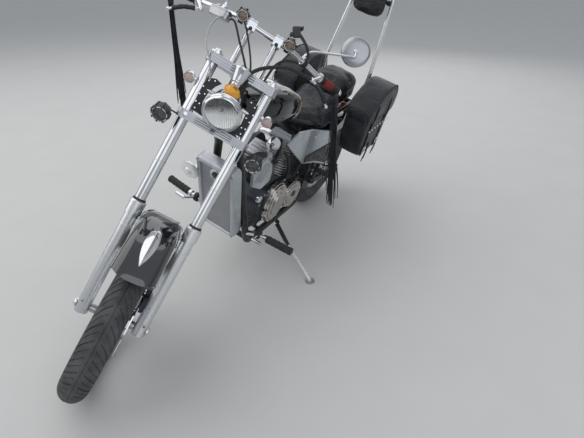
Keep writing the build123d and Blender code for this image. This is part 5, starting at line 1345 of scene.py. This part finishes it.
def fender_section(radius, wall):
    """Half-round section of the fender: (x, radius) from one lower edge over the crown to the other."""
    half, points = FENDER_HALF - wall, []
    for k in range(1, 24):
        a = (-1 + 2 * k / 24) * radians(96)
        level = min(abs(a), pi / 2)
        points.append((half * copysign(abs(sin(level)) ** 0.72, a), radius - wall - 46 * (1 - cos(level)) ** 1.5))
    return [(-half, radius - 58)] + points + [(half, radius - 58)]


def fender_end(x, angle):
    """Rounds the corners of both ends of the fender."""
    back = FENDER_CORNER * (abs(x) / FENDER_HALF) ** 3.4
    return min(max(angle, FENDER_START + back * 0.6), FENDER_STOP - back)


outer, inner = fender_section(367, 0), fender_section(367, 3.4)
fender_skin = Form(FENDER).rings([[at_angle(x, r, fender_end(x, angle)) for x, r in outer + inner[::-1]]
                                  for angle in np.linspace(FENDER_START, FENDER_STOP, 48)])
for side in (-1, 1):
    fender_skin.box((side * 86, 0, 300), (26, 30, 16))
fender_skin.piece("fender_skin", "steering", FENDER_PAINT, replaced=("front_fender",))
print("fender of", len(fender_skin.faces), "faces")

# %% Fender trim
SWEEP = ((80, 345, 3), (75, 354, 0), (66, 360, -2), (56, 363.5, -5), (50, 365, -10), (46, 366, -18), (44, 366, -30))
trim = Form(FENDER)
for side in (-1, 1):
    arch = [at_angle(side * 81, 334, a) for a in np.linspace(24, 6, 8)]
    trim.bent(arch + [at_angle(side * x, r, a) for x, r, a in SWEEP], 3, 2.6, sides=8)
edge = [at_angle(x * 1.01, r + 1, fender_end(x, FENDER_START)) for x, r in outer]
trim.tube(edge, 3.0, sides=8).piece("fender_bead", "steering", CHROME)
rings = []
for k in range(15):
    t = k / 14
    half, lift = 25 * sin(pi * t) ** 0.75 + 0.4, 3 + 20 * sin(pi * t) ** 0.7
    out, across = Vector(at_angle(0, 1, 17 + 33 * t)), Vector((1, 0, 0))
    rings.append([out * 365.5 + across * half * side + out * rise for side, rise in (
        (-1, -4), (1, -4), (1, 0), (0.45, lift * 0.75), (0, lift), (-0.45, lift * 0.75), (-1, 0))])
Form(FENDER).rings(rings).piece("fender_drop", "steering", CHROME, replaced=("fender_ornament",), bevel=0.8)
print("bead and drop on the fender")

# %% Slider trim
bands, dust, points, outs = Form(FORK), Form(FORK), [], []
for side in (-1, 1):
    x, y = side * TUBE_X, -FORK_OFFSET
    bands.lathe([(27, -3), (31.6, -2), (31.6, 6), (29, 9), (23, 12), (22, 9), (22, 0)], (x, y, -376), (0, 0, 1))
    bands.lathe([(26.5, -2), (29, -1.4), (29, 1.4), (26.5, 2)], (x, y, -470), (0, 0, 1))
    bands.lathe([(21, -3), (23.4, -2), (23.4, 2), (21, 3)], (x, y, -196), (0, 0, 1))
    bands.box((x - side * 30, y, -455), (10, 40, 46))
    bands.tube([(x, y, -848), (x, y, -856)], 16, sides=24)
    bands.lathe([(0, -1), (18, -1), (18, 5), (14, 9), (0, 9)], (x + side * 26, y, -FORK_LENGTH), (side, 0, 0), steps=32)
    dust.lathe([(21.7, 0), (26, 0), (25, 7), (22.6, 10), (21.7, 10)], (x, y, -367), (0, 0, 1))
    points += [(x - side * 24, -84, -455), (x - side * 24, -52, -455), (x + side * 8, -96, -800)]
    outs += [(-side, 0, 0), (-side, 0, 0), (0, -1, 0)]
bands.piece("slider_bands", "steering", SLIDER, bevel=0.6)
stamped("slider_screws", SOCKET_BOLT, points, outs, FORK, "steering", STEEL, size=0.9)
dust.piece("dust_seals", "steering", RUBBER)
print(len(points), "screws on the sliders")

# %% [markdown]
# ## Billet clamps
# Both clamps are milled plate: long rounded ends, a pinch slot behind each tube and three fine grooves across
# the face. They keep their CAD mesh; a bright washer, cap nuts and pinch bolts dress them, and thin dark strips
# in the grooves are painted shade.

# %% Clamp dressing
points = [(side * 132, -32, z + dz) for z in (0, CLAMP_RISE) for side in (-1, 1) for dz in (-8, 8)]
stamped("pinch_bolts", SOCKET_BOLT, points, (0, 1, 0), FORK, "steering", CHROME, size=1.1)
cap_nut = [(0, 258), (12, 258), (14, 264), (14, 267), (10, 270), (8, 270), (7, 266), (0, 266)]
caps, groove_shade = Form(FORK), Form(FORK)
for side in (-1, 1):
    caps.lathe(cap_nut, (side * TUBE_X, -FORK_OFFSET, 0), (0, 0, 1), steps=6)
caps.lathe([(0, 258), (24, 258), (27, 262), (20, 276), (0, 280)], (0, 0, 0), (0, 0, 1), steps=40)
caps.lathe([(0, -1), (9, -1), (9, 4), (6, 5), (0, 5)], (-114, -104, 0), (0, -1, 0), steps=24)
caps.piece("clamp_caps", "steering", CHROME)
# painted shade: thin dark strips lie in the three grooves across each clamp's face
for z, wide in ((0, 150), (CLAMP_RISE, 96)):
    for dz in (-8, 0, 8):
        groove_shade.box((0, -104, z + dz), (wide, 1.2, 2.2))
groove_shade.piece("clamp_grooves", "steering", ENGINE_DARK)
riser_bolts = [(side * 58 + dx, 40, 455) for side in (-1, 1) for dx in (-9, 9)]
stamped("riser_bolts", SOCKET_BOLT, riser_bolts, (0, 0, 1), FORK, "steering", CHROME, size=0.9)
stamped("riser_plugs", BOLT, [(side * 58, 18.6, 416) for side in (-1, 1)], (0, -1, 0), FORK, "steering", PLASTIC,
        size=1.2)
print(len(points), "pinch bolts")

# %% [markdown]
# ## Tank
# The tank is one glossy skin. Two curved bands, a row of beads and the filler cap break its reflections the
# way they do on the real one; the bands are shallow tubes pressed half into the paint.

# %% Tank trim
NOSE, TAIL = Vector((0, -1040.06, 1040.47)), Vector((0, -598, 912))
STATIONS = [(0, 48, 38, 0), (0.18, 103, 70, -6), (0.475, 123, 86, 6), (0.77, 104, 74, 8), (1, 60, 38, 0)]
BANDS = (((0.40, 66), (0.55, 60), (0.68, 52), (0.79, 40), (0.87, 20), (0.89, -4), (0.84, -28)),
         ((0.50, 50), (0.60, 44), (0.70, 34), (0.765, 18), (0.78, -2), (0.74, -24)))
BEADS = ((0.90, -12), (0.885, -22), (0.87, -32), (0.85, -42), (0.82, -52))
FILLER = [(0, -4), (38, -4), (40, 0), (36, 3), (32, 4), (32, 13), (27, 19), (12, 22), (0, 22.5)]
BRONZE = worn("bronze_trim", "chrome", (0.36, 0.29, 0.22), (0.22, 0.18, 0.14), 30, (0.2, 0.35), 0.0001, metallic=1.0)


def tank_skin(share, angle, lift=0.6):
    """A point on the tank's side at a share of its length; angle 0 is level, 90 straight up."""
    at, *columns = zip(*STATIONS)
    half, high, rise = (float(np.interp(share, at, column)) for column in columns)
    c, s = cos(radians(angle)), sin(radians(angle))
    middle = NOSE.lerp(TAIL, share)
    return ((half + lift) * soft_corner(c, 0.62), middle.y, middle.z + rise + (high + lift) * soft_corner(s, 0.62))


bands = Form(BIKE)
for slot, route in enumerate(BANDS):
    for side in (-1, 1):
        path = [tank_skin(share, angle) for share, angle in route]
        bands.bent([(side * x, y, z) for x, y, z in path], 6, 6.5 - slot, slot=slot, sides=10)
bands.piece("tank_bands", "frame", CHROME, BRONZE)
beads = curve_through([tank_skin(share, angle, 3) for share, angle in BEADS], 3)
stamped("tank_beads", BOLT, beads, (1, 0, -0.2), BIKE, "frame", CHROME, size=0.9)
Form(BIKE).lathe(FILLER, NOSE.lerp(TAIL, 0.4) + Vector((0, 0, 80)), (0, 0.28, 1)).piece("filler_cap", "frame", CHROME)
print("tank from", [round(v) for v in NOSE], "to", [round(v) for v in TAIL], "with", len(beads), "beads")

# %% [markdown]
# ## Radiator
# Fine vertical tubes and fins fill the frame of the radiator. At this distance they read as a soft mesh, so
# the core is a bump of crossed lines over a recessed panel, inside a wide rounded border; its colour follows
# the bump, darker in the grooves as painted shade between the fins.

# %% Radiator finishes
def core_with_painted_gap_shade(g):
    here = g.axes()
    rows = (here["Z"] * 2600.0).wave()
    columns = (here["X"] * 1500.0 + here["Y"] * 900.0).wave()
    fin_relief_and_gap_shade = rows * 0.6 + columns * 0.4
    return {
        # painted shade: the colour follows the bump, darker in its grooves between the fins
        "Base Color": g.blend(g.spread(fin_relief_and_gap_shade + g.noise(12) * 0.6, -0.6, 1.2), (0.30, 0.31, 0.33), (0.50, 0.51, 0.53)),
        "Roughness": g.spread(g.noise(20), 0.3, 0.7, 0.45, 0.65),
        "Normal": g.bump(fin_relief_and_gap_shade, 0.0008),
    }


CORE_MESH = finish("core_mesh", "aluminium", core_with_painted_gap_shade, metallic=0.35)
HORN_CHROME = worn("horn_chrome", "chrome", (0.90, 0.90, 0.89), (0.80, 0.80, 0.80), 12, (0.12, 0.2), 0.00001,
                   metallic=0.45)

print("radiator and horn finishes")

# %% Radiator
RAD_LOW, RAD_HIGH = Vector((0, -1036, 348)), Vector((0, -1142, 776))
rad_up = (RAD_HIGH - RAD_LOW).normalized()
rad_out = Vector((1, 0, 0)).cross(rad_up)
RAD = BIKE @ Matrix.Translation((RAD_LOW + RAD_HIGH) / 2) @ Matrix((
    (1, 0, 0, 0), (0, rad_up.y, rad_out.y, 0), (0, rad_up.z, rad_out.z, 0), (0, 0, 0, 1)))
RAD_HALF = (RAD_HIGH - RAD_LOW).length / 2


def rounded_box(half_x, inset, corner, z, steps=6):
    points, half_y = [], RAD_HALF - inset
    for cx, cy, start in ((1, 1, 0), (-1, 1, 90), (-1, -1, 180), (1, -1, 270)):
        for k in range(steps + 1):
            a = radians(start + 90 * k / steps)
            points.append((cx * (half_x - corner) + corner * cos(a), cy * (half_y - corner) + corner * sin(a), z))
    return points


Form(RAD).box((0, 0, 9), (170, 2 * RAD_HALF - 40, 24)).piece("radiator_mesh", "frame", CORE_MESH)
oval = [(4 + 27 * cos(radians(a)), RAD_HALF - 58 + 33 * sin(radians(a)), 24) for a in range(0, 360, 15)]
Form(RAD).tube(oval, 4.5, sides=8, loop=True).slab(oval, (0, 0, 2)).piece("radiator_oval", "frame", CHROME)
Form(RAD).lathe([(0, 0), (19, 0), (19, 4), (15, 6), (0, 6.5)], (4, RAD_HALF - 58, 25), (0, 0, 1), steps=32).piece(
    "radiator_badge", "frame", PLASTIC)
Form(RAD).rings([rounded_box(*section) for section in (
    (105, 0, 22, -29), (106, 0, 22, 10), (103, 3, 20, 25), (97, 9, 16, 30), (88, 18, 10, 30), (84.5, 21, 8, 26),
    (84, 22, 8, 14), (84, 22, 8, -29))], loop=True).piece(
        "radiator_border", "frame", SILVER_PAINT, replaced=("radiator_shell",))
corner_screws = [(x, y, 30) for x in (-94, 94) for y in (-RAD_HALF + 12, RAD_HALF - 12)]
stamped("radiator_screws", SOCKET_BOLT, corner_screws, (0, 0, 1), RAD, "frame", STEEL, size=0.8)
Form(RAD).lathe([(0, -6), (20, -6), (22, 0), (22, 6), (18, 10), (0, 12)], (58, RAD_HALF - 4, 0), (0, 1, 0),
                steps=12).piece("radiator_cap", "frame", CHROME)
disc = [(0, -10), (34, -10), (43, -6), (46, 0), (46, 6), (42, 10), (36, 11), (20, 13), (17, 19), (12, 22), (0, 23)]
Form(RAD).lathe(disc, (-124, 136, 48), (0, 0, 1)).box((-112, 132, 16), (20, 18, 46)).piece(
    "horn_disc", "frame", HORN_CHROME, replaced=("horn",))
print("radiator", round(2 * RAD_HALF), "mm tall")

# %% [markdown]
# ## Side covers, hoop and rear
# The side cover is a folded silver plate with a ribbed grille in its lower corner. Behind it the backrest
# hoop stands on two blocks, and the rear fender carries a lamp and a blank plate.

# %% Side covers
FOLD = -560


def plate_x(y):
    """The left plate is flat behind its fold and turns in before it."""
    return 174.0 - (-226 - y) * 0.066 if y > FOLD else 152.0 - (FOLD - y) * 0.42


covers = Form(BIKE)
front_facet = [(-560, 812), (-569, 604), (-676, 716), (-690, 735), (-640, 806)]
rear_facet = [(-560, 812), (-236, 700), (-232, 668), (-226, 500), (-246, 488), (-300, 500), (-430, 560), (-569, 604)]
for facet in (front_facet, rear_facet):
    covers.slab([(plate_x(y) - 12, y, z) for y, z in facet], (12, 0, 0))
covers.slab([(-144, y, z) for y, z in ((-482, 792), (-244, 712), (-240, 604), (-482, 604))], (12, 0, 0))
covers.piece("side_plates", "frame", SILVER_PAINT, replaced=("side_covers",), bevel=1.8)
ribs = Form(BIKE)
low_edge, high_edge = ((-566, 612), (-430, 572), (-300, 512), (-250, 508)), ((-566, 650), (-300, 652), (-250, 560))
for k in range(17):
    y = -556 + 18.5 * k
    low, high = (float(np.interp(y, *zip(*edge))) + inset for edge, inset in ((low_edge, 3), (high_edge, -3)))
    x = plate_x(y) + 1
    ribs.slab([(x, y, low), (x, y + 5, low), (x, y - 2, high), (x, y - 7, high)], (5, 0, 0))
Form(BIKE).slab([(plate_x(y) - 2, y, z) for y, z in low_edge + high_edge[::-1]], (3.5, 0, 0)).piece(
    "side_grille", "frame", PLASTIC)
ribs.piece("side_grille_ribs", "frame", ENGINE_GREY)
stamped("side_plate_bolts", BOLT, [(174.5, -250, 690), (174.5, -250, 520), (166, -545, 770)], (1, 0, 0), BIKE, "frame",
        CHROME, size=0.9)
print("side covers with 17 ribs")

# %% [markdown]
# The hoop keeps its CAD tube. Turned blocks hold its feet, and a small collar sits below each side of the pad.

# %% Hoop
hoop = Form(BIKE)
for side in (-1, 1):
    hoop.lathe([(11.6, -20), (17, -20), (18, -14), (18, 14), (15, 20), (11.6, 20)], (side * 150, 40, 800),
               (0, 0.05, 1), steps=28)
    hoop.collar(11.6, 15, 8, (side * 124, 102, 1250), (-0.1, 0.19, 1))
hoop.piece("hoop_collars", "frame", SLIDER)
stamped("hoop_bolts", BOLT, [(side * 164, y, 765) for side in (-1, 1) for y in (30, 52)],
        [(side, 0, 0) for side in (-1, 1) for _ in range(2)], BIKE, "frame", CHROME, size=1.1)
print("hoop held at four places")

# %% [markdown]
# The plate is a blank sheet in a thin frame. A chrome ring holds the tail lamp's lens, and each signal behind
# has its own amber one.

# %% Plate and rear lamps
PLATE = BIKE @ Matrix.Translation((0, 400, 510)) @ Matrix.Rotation(radians(12), 4, "X")
Form(PLATE).box((0, 1.7, 0), (232, 1.2, 142)).piece("rear_plate", "frame", PLATE_WHITE)
Form(PLATE).tube([(x * 119, 0.4, z * 74) for x, z in SQUARE], 2.0, sides=8, loop=True).piece(
    "plate_frame", "frame", CHROME)
ring, lenses = Form(BIKE), Form(BIKE)
ring.lathe([(42, 21), (46.5, 22), (47.5, 28), (45, 32), (41.5, 30)], (0, 262, 648), (0, 1, 0), steps=64)
for side in (-1, 1):
    signal = (side * 158, 384, 560)
    ring.lathe([(22, 12), (26, 13), (26, 21), (23, 23)], signal, (0, 1, 0), steps=40)
    lenses.lathe([(0, 17), (22, 19), (22, 24), (13, 29), (0, 30.5)], signal, (0, 1, 0), steps=40)
ring.piece("rear_lamp_rings", "frame", CHROME)
lenses.piece("rear_signal_lenses", "frame", AMBER_LENS)
print("plate and rear lamps")

# %% [markdown]
# ## Wheels
# The CAD wheels bring rim, hub, disc and crossed spokes. The nipples at the rim, the dark rings painted as shade
# for the disc's drilled holes and the sprocket's bolts repeat round the axle, so the turning tree makes them from
# one of each.

# %% Wheel dressing
def around(name, form, place, material, copies):
    """Copies of a form about the front or the rear axle."""
    board, centre = (FORK, FRONT_CENTRE) if place == "front" else (BIKE, REAR_CENTRE)
    return grown(TURNED, name, form.mesh(name + "_one", board=Matrix()), board @ Matrix.Translation(centre),
                 f"{place}_wheel_body", material, {"Copies": copies})


for place, well in (("front", 223), ("rear", 175)):
    nipple = Form().lathe([(0, -16), (3.4, -16), (4, -2), (5, 1), (0, 1)], (0, 0, well), (0, 0, 1), steps=8)
    around(f"{place}_nipples", nipple, place, CHROME, 32)
# painted shade: each drilled hole of the disc is a thin dark ring laid on its face
drilled_hole_shade = Form()
for r, a in ((84, 0), (98, 4), (112, 8), (126, 12), (138, 3)):
    drilled_hole_shade.lathe([(2.4, -0.3), (5.4, -0.3), (5.4, 0.5), (2.4, 0.5)], (69.3, r * sin(radians(a)), r * cos(radians(a))),
               (1, 0, 0), steps=10)
around("disc_holes", drilled_hole_shade, "front", ENGINE_DARK, 20)
button = Form().lathe([(0, -2), (8, -2), (8, 2), (6, 3), (0, 3)], (69, 0, 66), (1, 0, 0), steps=14)
around("disc_buttons", button, "front", CHROME, 8)
sprocket_bolt = Form().lathe([(0, 0), (6, 0), (6, 5), (0, 5)], (102, 0, 48), (1, 0, 0), steps=6)
around("sprocket_bolts", sprocket_bolt, "rear", CHROME, 6)
print("wheels dressed")

# %% [markdown]
# ## Low pieces
# The front pegs get ribbed rubbers, and the stand gets the black arm between its pivot and its leg.

# %% Pegs and stand
pegs, tread = Form(BIKE), []
for k in range(12):
    r = 19.8 if k % 2 else 18.4
    tread += [(r, 8 + k * 11.5), (r, 8 + k * 11.5 + 7.5)]
for side in (-1, 1):
    peg_way = (side * 0.997, 0.06, 0.025)
    pegs.lathe([(10, 6)] + tread + [(10, 148)], (side * 240, -990, 390), peg_way, steps=28)
    pegs.lathe([(0, 148), (19, 148), (20, 152), (18, 158), (0, 160)], (side * 234, -990, 390), peg_way, steps=28)
    pegs.collar(9, 24, 12, (side * 196, -990, 388), (side, 0, 0), 28, (2, 6))
pegs.piece("front_pegs", "frame", RUBBER)
STAND_PIVOT, STAND_ELBOW, STAND_ANKLE = Vector((128, -640, 205)), Vector((233, -697, 179)), Vector((492, -843, 154))
leg = [STAND_PIVOT, STAND_ELBOW, STAND_ELBOW.lerp(STAND_ANKLE, 0.14)]
Form(BIKE).tube(leg, (13, 12, 9.5), sides=16).piece("stand_arm", "stand", FRAME_PAINT)
print("pegs and the stand's black arm")

# %% [markdown]
# ## Floor and light
# A pale floor, one broad key lamp from the left and above, a fill and a soft sky. The lamps are large so that
# chrome shows long soft reflections, and their strength makes a colour render about as it is written.

# %% Floor, sky and lamps
FLOOR_COLOUR, SKY_LOW, SKY_HIGH = (0.60, 0.60, 0.59), (0.42, 0.44, 0.47), (0.86, 0.90, 0.96)
FLOOR_HALF, SKY_STRENGTH = 40, 0.55
floor_mesh = bpy.data.meshes.new("floor")
floor_mesh.from_pydata([(x * FLOOR_HALF, y * FLOOR_HALF, 0) for x, y in SQUARE], [], [(0, 1, 2, 3)])
floor = bpy.data.objects.new("floor", floor_mesh)
bpy.context.scene.collection.objects.link(floor)
floor_mesh.materials.append(finish("floor", "floor", lambda g: {
    "Base Color": g.blend(g.spread(g.noise(3, 3), 0.3, 0.7), FLOOR_COLOUR, tuple(c * 0.97 for c in FLOOR_COLOUR)),
    "Roughness": g.spread(g.noise(5), 0.3, 0.7, 0.8, 0.9),
}))

world = bpy.data.worlds.new("sky")
bpy.context.scene.world = world
world.use_nodes = True
world.node_tree.nodes.clear()
sky = Graph(world.node_tree)
rise = sky.node("ShaderNodeSeparateXYZ", {}, {0: sky.node("ShaderNodeTexCoord")["Generated"]})["Z"]
colour = sky.blend(sky.spread(rise, -0.05, 0.55), SKY_LOW, SKY_HIGH)
light = sky.node("ShaderNodeBackground", {}, {"Color": colour, "Strength": SKY_STRENGTH})["Background"]
sky.node("ShaderNodeOutputWorld", {}, {"Surface": light})


def lamp(name, place, aim, size, watts, colour=(1, 1, 1)):
    data = bpy.data.lights.new(name, "AREA")
    data.shape, data.size, data.energy, data.color = "DISK", size, watts, colour
    made = bpy.data.objects.new(name, data)
    bpy.context.scene.collection.objects.link(made)
    made.location = place
    made.rotation_euler = (Vector(aim) - Vector(place)).to_track_quat("-Z", "Y").to_euler()


lamp("key", (-3.4, -1.6, 5.2), (0, 0, 0.4), 9.5, 205, (1.0, 0.98, 0.95))
lamp("fill", (4.4, -3.4, 3.8), (0, 0, 0.5), 7.0, 92, (0.95, 0.98, 1.0))
lamp("back", (-1.0, 4.4, 4.0), (0, 0, 0.6), 7.0, 85)
bpy.context.scene.view_settings.view_transform = "Standard"
print("floor, sky and", len(bpy.data.lights), "lamps")
